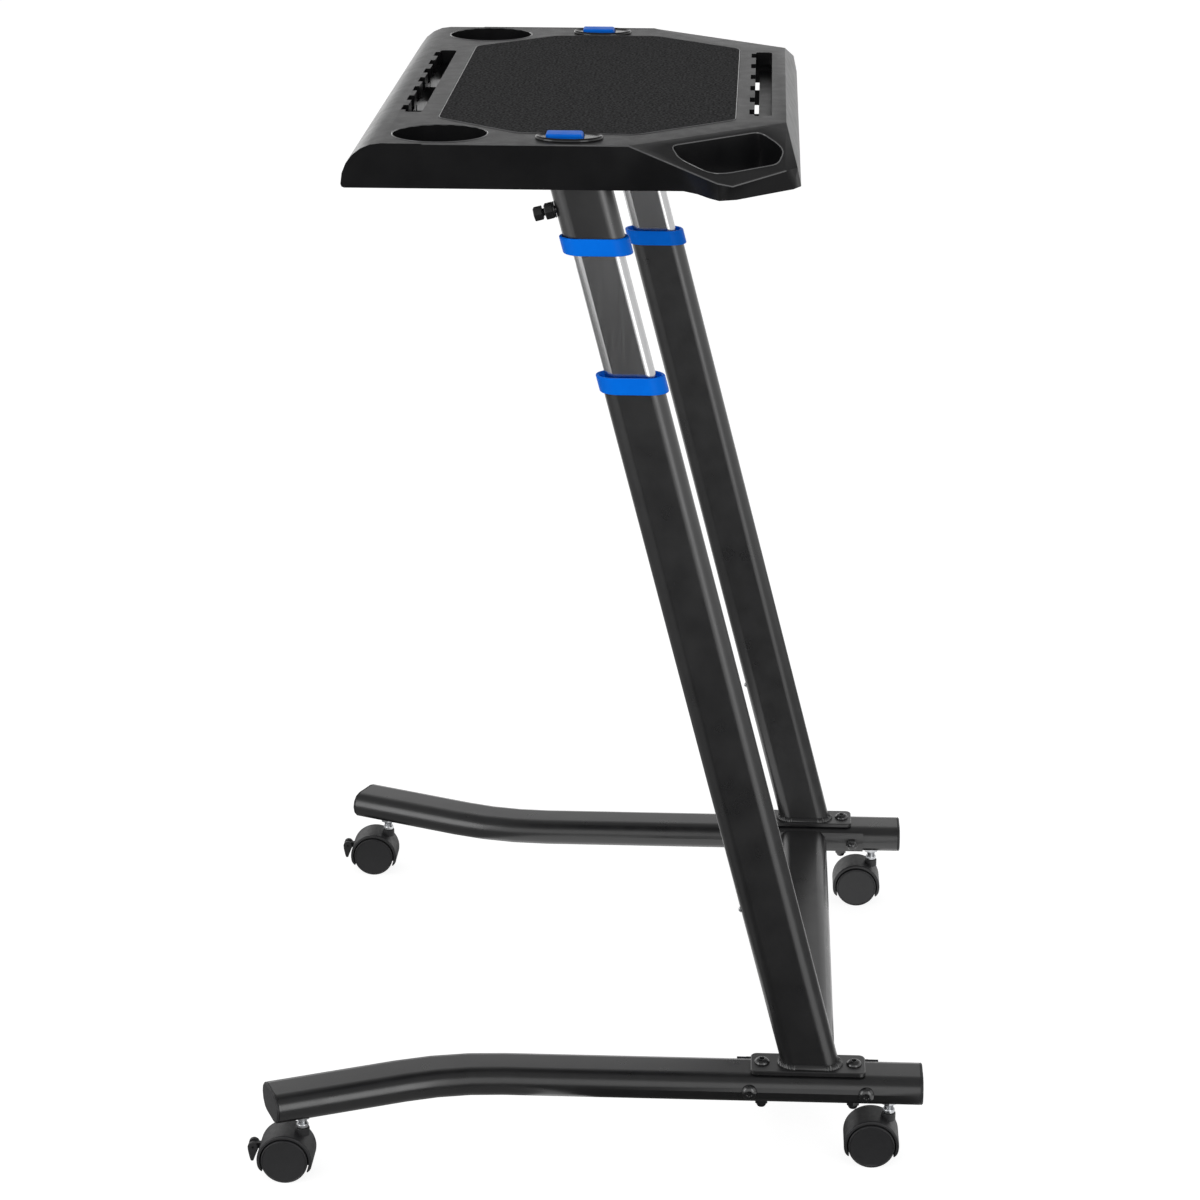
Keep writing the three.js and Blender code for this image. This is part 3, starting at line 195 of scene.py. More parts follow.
CARDS = {  # height, radiance, corners in plan
    "front_card": (0.004, 0.07, [
        (0.0, 0.10), (3.4, -1.0), (9.0, -3.0), (9.0, 1.7), (3.4, 0.58), (0.0, 0.34),
    ]),
    "right_card": (0.003, 0.16, [(0.36, 0.62), (1.9, 2.2), (1.2, 5.0), (-4.0, 5.0), (-2.4, 0.9)]),
    "left_card": (0.002, 0.28, [
        (0.4, -0.05), (2.67, -0.48), (2.2, -1.44), (1.16, -2.15), (-0.08, -2.26), (-1.0, -2.2), (-1.0, -0.3),
    ]),
    "overhead_card": (3.0, 0.25, [(-3.4, -3.2), (3.4, -3.2), (3.4, 3.4), (-3.4, 3.4)]),
    "behind_card": (3.0, 0.55, [(-9.5, -5.0), (-3.4, -5.0), (-3.4, 5.0), (-9.5, 5.0)]),
}


def build_cards():
    """On the floor and overhead: they keep the flat sides dark and leave bands on the round ones."""
    for name, (height, radiance, plan) in CARDS.items():
        glossy_card(name, [(x, y, height) for x, y in plan], radiance)


def softbox(name, place, target, size, power, reflected):
    data = bpy.data.lights.new(name, "AREA")
    data.shape = "RECTANGLE"
    data.size, data.size_y = size
    data.energy = power
    lamp = bpy.data.objects.new(name, data)
    bpy.context.scene.collection.objects.link(lamp)
    lamp.location = place
    lamp.rotation_euler = (Vector(place) - Vector(target)).to_track_quat("Z", "Y").to_euler()
    lamp.visible_glossy = reflected


def radiance_power(size, radiance):
    """The power in watts that gives a one-sided area lamp this radiance."""
    return radiance * math.pi * size[0] * size[1]


def build_lights():
    middle = (0, 0, 0.65)
    boxes = {
        "softbox_left": ((1.9, -2.6, 1.2), (1.5, 2.6), 2.0, True),
        "softbox_right": ((2.8, 1.9, 1.3), (1.2, 2.6), 2.0, True),
        "softbox_front": ((3.9, -0.6, 2.3), (2.0, 1.4), 3.2, False),
        "softbox_back": ((-3.0, -1.6, 1.2), (1.3, 0.7), 1.5, True),
        "softbox_top": ((0, 0, 3.3), (2.6, 2.6), 0.8, False),
    }
    for name, (place, size, radiance, reflected) in boxes.items():
        softbox(name, place, middle, size, radiance_power(size, radiance), reflected)


# Materials
def base_material(name, colour, roughness, metallic=0.0, specular=0.5):
    material = bpy.data.materials.new(name)
    material.use_nodes = True
    shader = material.node_tree.nodes["Principled BSDF"]
    shader.inputs["Base Color"].default_value = (*colour, 1)
    shader.inputs["Roughness"].default_value = roughness
    shader.inputs["Metallic"].default_value = metallic
    shader.inputs["Specular IOR Level"].default_value = specular
    return material


def add_node(material, kind, **settings):
    node = material.node_tree.nodes.new(kind)
    for key, value in settings.items():
        if key in node.inputs:
            node.inputs[key].default_value = value
        else:
            setattr(node, key.lower(), value)
    return node


def link(material, source, target):
    material.node_tree.links.new(source, target)


def place_texture(material, texture, scale=(1, 1, 1), turn=(0, 0, 0)):
    """Lays a texture in the object's own metres, so that it stays on the piece in every pose."""
    coordinates = add_node(material, "ShaderNodeTexCoord")
    mapping = add_node(material, "ShaderNodeMapping")
    mapping.inputs["Scale"].default_value = scale
    mapping.inputs["Rotation"].default_value = turn
    link(material, coordinates.outputs["Object"], mapping.inputs["Vector"])
    link(material, mapping.outputs["Vector"], texture.inputs["Vector"])


def vary_roughness(material, low, high, scale, stretch=(1, 1, 1), turn=(0, 0, 0)):
    noise = add_node(material, "ShaderNodeTexNoise", Scale=scale, Detail=3)
    place_texture(material, noise, stretch, turn)
    spread = add_node(material, "ShaderNodeMapRange")
    spread.inputs["From Min"].default_value = 0.3
    spread.inputs["From Max"].default_value = 0.7
    spread.inputs["To Min"].default_value = low
    spread.inputs["To Max"].default_value = high
    link(material, noise.outputs["Fac"], spread.inputs["Value"])
    link(material, spread.outputs["Result"], material.node_tree.nodes["Principled BSDF"].inputs["Roughness"])


def add_bump(material, height, strength, distance, below=None):
    bump = add_node(material, "ShaderNodeBump")
    bump.inputs["Strength"].default_value = strength
    bump.inputs["Distance"].default_value = distance
    link(material, height, bump.inputs["Height"])
    if below:
        link(material, below.outputs["Normal"], bump.inputs["Normal"])
    link(material, bump.outputs["Normal"], material.node_tree.nodes["Principled BSDF"].inputs["Normal"])
    return bump


def grain(material, scale, strength, distance, stretch=(1, 1, 1), turn=(0, 0, 0), below=None):
    noise = add_node(material, "ShaderNodeTexNoise", Scale=scale, Detail=2)
    place_texture(material, noise, stretch, turn)
    return add_bump(material, noise.outputs["Fac"], strength, distance, below)


def pebbles(material, scale, strength, distance):
    """Moulded leather-like grain: cells with soft tops."""
    cells = add_node(material, "ShaderNodeTexVoronoi", Scale=scale)
    place_texture(material, cells)
    return add_bump(material, cells.outputs["Distance"], strength, distance)


def vary_colour(material, dark, light, scale, detail=2, stretch=(1, 1, 1), low=0.35, high=0.65):
    noise = add_node(material, "ShaderNodeTexNoise", Scale=scale, Detail=detail)
    place_texture(material, noise, stretch)
    ramp = add_node(material, "ShaderNodeValToRGB")
    ramp.color_ramp.elements[0].position = low
    ramp.color_ramp.elements[1].position = high
    ramp.color_ramp.elements[0].color = (*dark, 1)
    ramp.color_ramp.elements[1].color = (*light, 1)
    link(material, noise.outputs["Fac"], ramp.inputs["Fac"])
    link(material, ramp.outputs["Color"], material.node_tree.nodes["Principled BSDF"].inputs["Base Color"])


def powder_coat():
    material = base_material("powder_coat", (0.009, 0.009, 0.0095), 0.36, specular=0.9)
    vary_colour(material, (0.008, 0.008, 0.0085), (0.0105, 0.0105, 0.011), 60)
    vary_roughness(material, 0.27, 0.33, 35)
    grain(material, 900, 0.1, 0.0002)
    return material


def fine_plastic():
    material = base_material("fine_plastic", (0.018, 0.018, 0.019), 0.5)
    vary_colour(material, (0.016, 0.016, 0.017), (0.022, 0.022, 0.0235), 1500)
    vary_roughness(material, 0.45, 0.55, 200)
    pebbles(material, 1600, 0.25, 0.0002)
    return material


def blue_plastic(name="blue_plastic", green=0.185, blue=0.9):
    material = base_material(name, (0.0, green, blue), 0.4, specular=0.08)
    vary_colour(material, (0.0, 0.96 * green, 0.98 * blue), (0.0, 1.04 * green, 1.03 * blue), 45)
    vary_roughness(material, 0.36, 0.44, 90)
    grain(material, 500, 0.06, 0.0002)
    return material


def bright_tube():
    material = base_material("bright_tube", (0.5, 0.5, 0.505), 0.2, metallic=1.0)
    vary_colour(material, (0.48, 0.48, 0.485), (0.52, 0.52, 0.525), 40, stretch=(6, 6, 0.4))
    vary_roughness(material, 0.18, 0.21, 30, (25, 25, 0.6), (-RAKE, 0, 0))
    grain(material, 60, 0.02, 0.0002, stretch=(30, 30, 0.5), turn=(-RAKE, 0, 0))
    return material


def zinc_plate():
    material = base_material("zinc_plate", (0.62, 0.63, 0.64), 0.25, metallic=1.0)
    vary_colour(material, (0.5, 0.51, 0.53), (0.68, 0.69, 0.7), 120)
    vary_roughness(material, 0.2, 0.34, 150)
    grain(material, 700, 0.08, 0.0002)
    return material


def black_bolt():
    material = base_material("black_bolt", (0.01, 0.01, 0.0105), 0.2, specular=0.95)
    vary_colour(material, (0.008, 0.008, 0.0085), (0.014, 0.014, 0.015), 250)
    vary_roughness(material, 0.16, 0.26, 200)
    grain(material, 800, 0.06, 0.0002)
    return material


def top_plastic():
    material = base_material("top_plastic", (0.0075, 0.0075, 0.008), 0.32, specular=0.1)
    vary_colour(material, (0.0065, 0.0065, 0.007), (0.009, 0.009, 0.0095), 25)
    vary_roughness(material, 0.29, 0.35, 60)
    first = pebbles(material, 1300, 0.2, 0.0002)
    grain(material, 250, 0.07, 0.0003, below=first)
    return material


# Painted highlight: a grey far lighter than the desk top, so that the beads along the desk's edges, handle,
# cups and mat show as bright lines where edge highlights fall
def painted_highlight_plastic():
    material = base_material("painted_highlight_plastic", (0.09, 0.09, 0.092), 0.2, specular=0.9)
    vary_colour(material, (0.08, 0.08, 0.082), (0.1, 0.1, 0.102), 40)
    vary_roughness(material, 0.16, 0.24, 80)
    grain(material, 600, 0.04, 0.0002)
    return material


def mat_foam():
    material = base_material("mat_foam", (0.022, 0.022, 0.0225), 0.9, specular=0.08)
    dark, light = (0.008, 0.008, 0.0085), (0.04, 0.04, 0.041)
    vary_colour(material, dark, light, 380, detail=4, low=0.4, high=0.6)
    vary_roughness(material, 0.85, 0.97, 500)
    first = pebbles(material, 900, 0.5, 0.0004)
    grain(material, 2500, 0.3, 0.0002, below=first)
    return material


def gloss_black():
    material = base_material("gloss_black", (0.006, 0.006, 0.0065), 0.14)
    vary_colour(material, (0.005, 0.005, 0.0055), (0.008, 0.008, 0.0085), 90)
    vary_roughness(material, 0.1, 0.18, 150)
    grain(material, 400, 0.03, 0.0002)
    return material


def dress(node, material, bevel, flatness):
    """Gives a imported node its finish, and softens its edges without changing its mesh."""
    obj = nodes[node]
    obj.data.materials.clear()
    obj.data.materials.append(material)
    for polygon in obj.data.polygons:
        polygon.use_smooth = True
    merge = obj.modifiers.new("merge", "WELD")
    merge.merge_threshold = 0.00001
    if flatness:
        flat = obj.modifiers.new("flat", "DECIMATE")
        flat.decimate_type = "DISSOLVE"
        flat.angle_limit = math.radians(flatness)
    if bevel:
        soft = obj.modifiers.new("soft", "BEVEL")
        soft.width = bevel
        soft.segments = 2
        soft.limit_method = "ANGLE"
        soft.angle_limit = math.radians(40)
        soft.miter_outer = "MITER_ARC"
    shade = obj.modifiers.new("shade", "WEIGHTED_NORMAL")
    shade.weight = 60
    shade.keep_sharp = True


# Detail pieces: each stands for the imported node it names, or is added on one body
MILLI = Matrix.Diagonal((MM, MM, MM, 1))
ALONG_X = Matrix(((0, 0, 1, 0), (1, 0, 0, 0), (0, 1, 0, 0), (0, 0, 0, 1)))
TO_LEFT = Matrix.Diagonal((-1, 1, 1, 1))


def circle(radius, height, straight=0.0, half_points=24):
    """A round or flat-oval ring, long along Y."""
    ring = []
    for i in range(2 * half_points):
        turn = math.pi * i / half_points
        if straight:
            turn = math.pi * (i % half_points) / (half_points - 1) + math.pi * (i // half_points)
        side = 1 if i < half_points else -1
        ring.append((radius * math.cos(turn), radius * math.sin(turn) + side * straight, height))
    return ring


def hexagon(apothem, height, points=48):
    """A hexagon with as many points as a circle has by default."""
    ring = []
    for i in range(points):
        turn = 2 * math.pi * i / points
        reach = apothem / math.cos(turn % (math.pi / 3) - math.pi / 6)
        ring.append((reach * math.cos(turn), reach * math.sin(turn), height))
    return ring


def ellipse(half_x, half_y, middle, height, points=64):
    turns = [2 * math.pi * i / points for i in range(points)]
    return [(middle[0] + half_x * math.cos(t), middle[1] + half_y * math.sin(t), height) for t in turns]


def rounded_box(half_x, half_y, corner, middle, height, points=64):
    """A rounded rectangle whose points lie in the directions of an ellipse's points."""
    ring = []
    per_corner = points // 4
    for quarter, (sx, sy) in enumerate(((1, 1), (-1, 1), (-1, -1), (1, -1))):
        for i in range(per_corner):
            turn = math.pi / 2 * (quarter + i / (per_corner - 1))
            x = sx * (half_x - corner) + corner * math.cos(turn)
            y = sy * (half_y - corner) + corner * math.sin(turn)
            ring.append((middle[0] + x, middle[1] + y, height))
    return ring


def skin(bm, rings, loop=False, place=None):
    """A closed skin over rings of as many points: capped at both ends, or joined end to start."""
    place = place or Matrix.Identity(4)
    rows = [[bm.verts.new(place @ Vector(point)) for point in ring] for ring in rings]
    count = len(rows[0])
    pairs = list(zip(rows, rows[1:])) + ([(rows[-1], rows[0])] if loop else [])
    for low, high in pairs:
        for i in range(count):
            j = (i + 1) % count
            bm.faces.new((low[i], low[j], high[j], high[i]))
    if not loop:
        bm.faces.new(rows[0][::-1])
        bm.faces.new(rows[-1])


def piece(name, bm, material, body, slot, mirrored=False, sharp=38, bevel=0.0, node=None):
    """Makes an object of a mesh drawn in millimetres, rides it on its body and hides the node it stands for.
    """
    to_side = TO_LEFT if mirrored else Matrix.Identity(4)
    bmesh.ops.transform(bm, matrix=to_side @ MILLI, verts=bm.verts[:])
    bmesh.ops.recalc_face_normals(bm, faces=bm.faces[:])
    for face in bm.faces:
        face.smooth = True
    limit = math.radians(sharp)
    for edge in bm.edges:
        edge.smooth = edge.calc_face_angle(0) < limit
    mesh = bpy.data.meshes.new(name)
    bm.to_mesh(mesh)
    bm.free()
    mesh.materials.append(material)
    obj = bpy.data.objects.new(name, mesh)
    bpy.context.scene.collection.objects.link(obj)
    if bevel:
        soft = obj.modifiers.new("soft", "BEVEL")
        soft.width = bevel * MM
        soft.segments = 2
        soft.limit_method = "ANGLE"
        soft.angle_limit = limit
    shade = obj.modifiers.new("shade", "WEIGHTED_NORMAL")
    shade.weight = 70
    shade.keep_sharp = True
    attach(obj, body)
    if node:
        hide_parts(node)
    return obj


def stand_in(stem, side, build, finishes, **settings):
    """A piece for one side's node; the left one is the right one mirrored."""
    node = f"{stem}_{side}"
    bm = bmesh.new()
    build(bm)
    slot = slot_of[node]
    return piece(f"{node}_fine", bm, finishes[slot], body_of[node], slot, side == "L", node=node, **settings)


def added(name, side, build, finishes, slot, body, **settings):
    """A piece that no node has, on both sides."""
    bm = bmesh.new()
    build(bm)
    piece(f"{name}_{side}", bm, finishes[slot], body, slot, side == "L", **settings)


def rake_matrix():
    """Pieces on a post's axis are drawn upright in millimetres and leaned by the rake."""
    slope = math.tan(RAKE)
    foot = POST_FOOT_Y / MM + FLANGE_TOP / MM * slope
    rows = ((1, 0, 0, POST_X / MM), (0, 1 / math.cos(RAKE), -slope, foot), (0, 0, 1, 0), (0, 0, 0, 1))
    return Matrix(rows)


def wheel(middle_x, middle_y, outwards):
    """Moulded disc with a dished face, a fine groove inside its rim and a rounded tread."""
    face = [(0.6, 7.6), (8, 7.7), (15, 8.0), (21.6, 8.4), (22.6, 8.5), (22.9, 8.2), (23.2, 8.3)]
    rim = [(23.5, 8.8), (23.9, 8.9), (24.4, 8.6), (24.8, 7.9), (25, 6.9), (25, 3), (24.9, 2.8), (24.9, 2.4)]
    tread = [(25, 2.2), (25, -7.6), (24.7, -8.5), (24, -9), (20, -9), (20, -5), (8, -5), (8, -9), (3.4, -9)]
    bore = [(3.4, 4.2), (0.6, 4.2)]
    turned = Matrix.Translation((middle_x, middle_y, WHEEL_RADIUS / MM))
    turned = turned @ Matrix.Diagonal((outwards, 1, 1, 1)) @ ALONG_X
    return lambda bm: skin(bm, [circle(r, t) for r, t in face + rim + tread + bore], place=turned)


def hood(stem_x, stem_y, braked):
    """Fender over both wheels, web between them, socket for the stem, axle, and the lever's lug."""
    def build(bm):
        at_axle = Matrix.Translation((stem_x, stem_y - AXLE_TRAIL, WHEEL_RADIUS / MM))
        edge = [(20.3, FENDER_INSIDE), (20.3, 28.2), (20.0, 29.0), (19.2, 29.5), (18.2, 29.6)]
        section = edge + [(12, 29.6), (-12, 29.6)] + [(-x, r) for x, r in edge[::-1]]
        steps = 44
        sections = []
        for i in range(steps + 1):
            angle = HOOD_START + HOOD_SWEEP * i / steps
            tip = min(angle - HOOD_START, HOOD_START + HOOD_SWEEP - angle) / 14
            thin = 1.6 * max(0.0, 1 - tip) ** 2
            turn = math.radians(angle)
            reach = [(x, max(FENDER_INSIDE, r - thin) if r > FENDER_INSIDE else r) for x, r in section]
            sections.append([(x, r * math.cos(turn), r * math.sin(turn)) for x, r in reach])
        skin(bm, sections, place=at_axle)
        turns = [math.radians(HOOD_START + HOOD_SWEEP * i / 30) for i in range(31)]
        outline = [(28 * math.cos(t), 28 * math.sin(t)) for t in turns]
        skin(bm, [[(x, y, z) for y, z in outline] for x in (-3.5, 3.5)], place=at_axle)
        socket = [(4.4, 48.3), (7.5, 48.3), (7.5, 55.6), (7.2, 56.6), (6.6, 57), (4.4, 57)]
        at_stem = Matrix.Translation((stem_x, stem_y, 0))
        skin(bm, [circle(r, z) for r, z in socket], loop=True, place=at_stem)
        axle = at_axle @ ALONG_X
        skin(bm, [circle(r, x) for r, x in ((2.6, -16.5), (3, -16), (3, 16), (2.6, 16.5))], place=axle)
        if braked:
            pivot = at_axle @ Matrix.Translation((0, -LUG_AHEAD, LUG_ABOVE))
            lug = pivot @ ALONG_X
            skin(bm, [circle(r, x) for r, x in ((3.2, -2.5), (3.6, -2.1), (3.6, 2.1), (3.2, 2.5))], place=lug)
            skin(bm, [circle(r, x) for r, x in ((1.1, -7), (1.4, -6.7), (1.4, 6.7), (1.1, 7))], place=lug)
            neck = [(-2.5, -3.4), (2.5, -3.4), (2.5, 3.4), (-2.5, 3.4)]
            skin(bm, [[(x, y, z) for x, z in neck] for y in (0, 9)], place=pivot)
    return build


def lever(stem_x, stem_y):
    """Round barrel forked over the lug, with a tail that hangs down in front."""
    def build(bm):
        pivot_y = stem_y - AXLE_TRAIL - LUG_AHEAD
        place = Matrix.Translation((stem_x, pivot_y, WHEEL_RADIUS / MM + LUG_ABOVE))
        barrel = [math.pi * i / 18 for i in range(19)]
        head = [(5.6 * math.cos(t), 5.6 * math.sin(t)) for t in barrel]
        tail = [(-5.3, -4), (-3.9, -11.2), (-2.8, -15.3), (-2.1, -16), (-0.3, -16), (0.4, -15.4), (2.5, -9.6)]
        outline = head + tail + [(5.2, -3)]
        low = [(y, z) for y, z in outline if z < -5] + [(2.9, -8.3), (2.9, -5.2), (-4.8, -5.2)]
        for start, end in ((-7, -2.8), (2.8, 7)):
            rings = [[(x, y, z) for y, z in outline] for x in (start, end)]
            skin(bm, rings, place=place)
        skin(bm, [[(x, y, z) for y, z in low] for x in (-3.2, 3.2)], place=place)
    return build


def bolt(place, grip, stack, skirt=0.0):
    """Wide domed head with a hexagon socket, shank, hexagon nut and acorn dome below its washers."""
    def build(bm):
        nut = -grip - stack
        dome = [(3.2, 4.3), (3.9, 4.28), (5.6, 3.7), (7.0, 2.7), (7.9, 1.6), (8.4, 0.5)]
        shank = [(8.4, -skirt), (4, -skirt), (4, -grip - 0.3), (5.6, nut)]
        nut_sides = [(5.9, 0), (6.5, 0.5), (6.5, 5.5), (5.9, 6.1)]
        acorn = [(5.4, 6.2), (5.3, 7.4), (4.9, 8.8), (4.0, 10.1), (2.4, 10.9), (0.8, 11.1)]
        rings = [hexagon(2.6, 1.5), hexagon(2.6, 3.9)] + [circle(r, z) for r, z in dome + shank]
        rings += [hexagon(r, nut - drop) for r, drop in nut_sides]
        rings += [circle(r, nut - drop) for r, drop in acorn]
        skin(bm, rings, place=place)
    return build


def washers(place, top):
    """A flat washer and a spring washer below it."""
    rings = [(4.2, top), (7.8, top), (8.1, top - 0.3), (8.1, top - 1.5), (7.8, top - 1.8), (7.5, top - 1.9)]
    rings += [(7.7, top - 2.1), (7.7, top - 3.3), (7.4, top - 3.6), (4.2, top - 3.6)]
    return lambda bm: skin(bm, [circle(r, z) for r, z in rings], loop=True, place=place)


def collar(profile):
    place = rake_matrix()
    return lambda bm: skin(bm, [circle(r, z, OVAL_STRAIGHT) for r, z in profile], loop=True, place=place)


LOWER_COLLAR = [
    (12.7, 830), (12.7, 859.4), (15.3, 859.4), (15.3, 851), (18.2, 851), (18.6, 851.5), (18.7, 852.4),
    (18.7, 866.8), (18.4, 867.6), (17.8, 868), (16.2, 868), (15.5, 867.5), (15.3, 864.2),
    (10.3, 863.9), (10.3, 830),
]
UPPER_COLLAR = [
    (10.3, 991), (17.8, 991), (18.4, 991.4), (18.7, 992.2), (18.7, 1006.8), (18.4, 1007.6), (17.8, 1008),
    (15.9, 1008), (15.3, 1007.4), (15.3, 1000.2), (12.7, 1000.2), (12.7, 1029), (10.3, 1029),
]


def post(bm):
    """Flat oval tube welded to its flange plate, which has rounded corners."""
    place = rake_matrix()
    tube = [(15, 111.9), (15, 859.4), (14.6, 860), (13.3, 860), (13, 859.6), (13, 111.9)]
    skin(bm, [circle(r, z, OVAL_STRAIGHT) for r, z in tube], loop=True, place=place)
    middle = (LEG_X / MM, (FLANGE_BOLT_Y[0] + FLANGE_BOLT_Y[1]) / 2 / MM)
    heights = ((-0.6, 107.3), (0, 107.9), (0, 111.5), (-0.8, 112.3))
    skin(bm, [rounded_box(22 + g, 61 + g, 7 + g, middle, z) for g, z in heights])


def weld(bm):
    """A bead round the post's foot: its outer rings rise and swell at every fifth point."""
    place = rake_matrix()
    points = 120
    section = ((14.2, 111.6), (18.8, 111.9), (18.9, 112.9), (17.6, 114.9), (15.9, 116.3), (14.2, 116.6))
    rings = []
    for reach, height in section:
        rippled = reach > 15
        ring = []
        for i, (x, y, _) in enumerate(circle(reach, 0, OVAL_STRAIGHT, points)):
            wave = 0.5 + 0.5 * math.cos(2 * math.pi * i / 5)
            swell = 1 + 0.016 * wave * rippled
            lift = 0.55 * wave * rippled + 0.3 * math.sin(i * 0.9) * rippled
            ring.append((x * swell, y * (1 + 0.006 * wave), height + lift))
        rings.append(ring)
    skin(bm, rings, loop=True, place=place)


def stem(x, y):
    """Zinc stem: pin, flange, thread and a chamfered nut under the leg."""
    def build(bm):
        place = Matrix.Translation((x, y, 0))
        pin = [(3.6, 48.5), (4, 48.9), (4, 57.3)]
        flange = [(6.1, 57.3), (6.5, 57.8), (6.5, 60.6), (6.0, 61.3), (5, 61.3)]
        thread = []
        for turn in range(6):
            thread += [(5, 61.8 + turn), (4.5, 62.3 + turn)]
        top = [(5, 75), (5, 90), (4.3, 90.7)]
        skin(bm, [circle(r, z) for r, z in pin + flange + thread + top], place=place)
        nut = [hexagon(r, z) for r, z in ((7.3, 67.7), (8, 68.3), (8, 74.1), (7.3, 74.7))]
        skin(bm, [circle(5.2, 67.7)] + nut + [circle(5.2, 74.7)], loop=True, place=place)
    return build


def clamp(bm):
    """Washer, hexagon nut, bare thread and a hexagon head with rounded corners."""
    slope = math.tan(RAKE)
    axis_height = CLAMP_HEIGHT + 30 * math.sin(RAKE)
    axis_y = POST_FOOT_Y / MM - (axis_height - FLANGE_TOP / MM) * slope
    lean = Matrix.Rotation(math.pi / 2 + RAKE, 4, "X")
    place = Matrix.Translation((POST_X / MM, axis_y, axis_height)) @ lean
    base = 30.3
    washer = ((7.8, 0), (8.2, 0.4), (8.2, 1.3), (7.8, 1.6))
    nut = ((6.9, 1.7), (7.5, 2.4), (7.5, 9.4), (6.8, 10.2))
    thread = ((4, 10.2), (3.5, 10.8), (4, 11.3), (3.5, 11.8), (4, 12.3))
    head = ((5.8, 12.6), (6.5, 13.2), (6.5, 20.8), (5.8, 21.5))
    rings = [circle(4, 25.4), circle(4, base)] + [circle(r, base + out) for r, out in washer]
    rings += [hexagon(r, base + out) for r, out in nut] + [circle(r, base + out) for r, out in thread]
    rings += [hexagon(r, base + out) for r, out in head]
    rings += [circle(3.4, base + 21.6), circle(3.1, base + 20.4)]
    skin(bm, rings, place=place)


def bezel(bm):
    """Oval dish with a raised rim and a well that the button slides in."""
    y, slope = -18.327, math.tan(RAKE)
    rim = ((0, 1102.3), (0, 1103.1), (0.35, 1104.2), (1.0, 1105.05), (1.6, 1105.3), (2.3, 1105.1))
    dish = ((5.2, 1103.8), (6, 1103.7))
    rings = [ellipse(23 - g, 33.5 - g, (BUTTON_X, y), z) for g, z in rim + dish]
    well = ((1.2, 1103.7), (0.7, 1103.4), (0.6, 1102.8), (0.6, 1099), (2.6, 1099), (2.6, 1102.3))
    for gap, z in well:
        centre = (BUTTON_X, BUTTON_Y - (z - DESK_TOP) * slope)
        rings.append(rounded_box(12.5 + gap, 18 + gap, 3 + gap, centre, z))
    skin(bm, rings, loop=True)


def button(bm):
    """Hollow cap with rounded edges and a faintly crowned face."""
    slope = math.tan(RAKE)
    inside = [(2.2, 1105.2), (2.2, 1093)]
    outside = [(0.2, 1093), (0, 1093.3), (0, 1105.6), (0.15, 1106.6), (0.6, 1107.3), (1.3, 1107.7)]
    crown = [(2.4, 1107.85), (6, 1108), (11, 1108)]
    rings = []
    for inset, z in inside + outside + crown:
        centre = (BUTTON_X, BUTTON_Y - (z - DESK_TOP) * slope)
        rings.append(rounded_box(12.5 - inset, 18 - inset, max(1.0, 3 - inset), centre, z))
    skin(bm, rings)


def spring(bm):
    """Three turns of wire between the inner tube's top and the button's foot."""
    place = rake_matrix()
    turns, steps, coil, wire = 3, 72, 5.0, 0.55
    upwards = Vector((0, 0, 1))
    around = [math.pi * k / 5 for k in range(10)]
    rings = []
    for i in range(steps + 1):
        turn = 2 * math.pi * turns * i / steps
        outwards = Vector((math.cos(turn), math.sin(turn), 0))
        middle = Vector((-4, -8.3, SPRING_FOOT + SPRING_RISE * i / steps)) + coil * outwards
        rings.append([middle + wire * (math.cos(t) * outwards + math.sin(t) * upwards) for t in around])
    skin(bm, rings, place=place)


# The ear beside each handle: foot and rim points in plan, from the desk's side to the rear corner
EAR_FOOT = [
    (DESK_SIDE, 13.2), (DESK_SIDE, 41.2), (366.1, 95), (380.2, 109.2),
    (400, 121.2), (411, 130.2), (404.8, 146.2), (350, 202.1),
]
EAR_RIM = [
    (DESK_SIDE, 13.2), (DESK_SIDE, 41.2), (389, 84.7), (396.9, 100.3),
    (404.8, 116.1), (411, 128.2), (411, 142.2), (350, 193.4),
]
EAR_OFFSETS = (0.05, 0.4, 0.7, 0.7, 0.7, 0.7, 0.7, 0.3)  # outwards, so that the wall covers the solid's
EAR_FOOT_HEIGHT = 1058
LIP_WIDTH = 2.4
WALL_THICKNESS = 2.2

# The sloping facet that the handle is cut in, and the handle's corners as shares of its length and width
FACET_START = Vector((DESK_SIDE, 41.173))
FACET_ALONG = Vector((-0.65605, 0.75471))
FACET_OUT = Vector((0.75471, 0.65605))
FACET_LENGTH = 202.73
FACET_WIDTH = 90
FACET_SLOPE = math.tan(math.radians(16.8))
HANDLE = [
    (0.215, 0.12), (0.165, 0.4), (0.215, 0.78), (0.3, 0.835),
    (0.635, 0.81), (0.755, 0.59), (0.79, 0.42), (0.785, 0.11),
]


def facet_height(x, y):
    return DESK_TOP - max((Vector((x, y)) - FACET_START).dot(FACET_OUT), 0) * FACET_SLOPE


def eased(points, radius, steps=7):
    """Corner points joined by curves that start at most a radius away."""
    outline = []
    for i, corner in enumerate(points):
        back, ahead = points[i - 1], points[(i + 1) % len(points)]
        start = corner.lerp(back, min(radius / (corner - back).length, 0.5))
        end = corner.lerp(ahead, min(radius / (corner - ahead).length, 0.5))
        for step in range(steps):
            t = step / (steps - 1)
            outline.append(start * (1 - t) ** 2 + corner * 2 * t * (1 - t) + end * t * t)
    shortest = 0.01
    return [point for i, point in enumerate(outline) if (point - outline[i - 1]).length > shortest]


def bead(bm, path, radius, up, closed=True):
    """A fine raised bead along a path."""
    rings = []
    for i, point in enumerate(path):
        before = path[i - 1] if closed else path[max(i - 1, 0)]
        after = path[(i + 1) % len(path)] if closed else path[min(i + 1, len(path) - 1)]
        along = (after - before).normalized()
        side = along.cross(up)
        turns = [math.pi * k / 4 for k in range(8)]
        rings.append([point + radius * (math.cos(t) * side + math.sin(t) * up) for t in turns])
    skin(bm, rings, loop=closed)


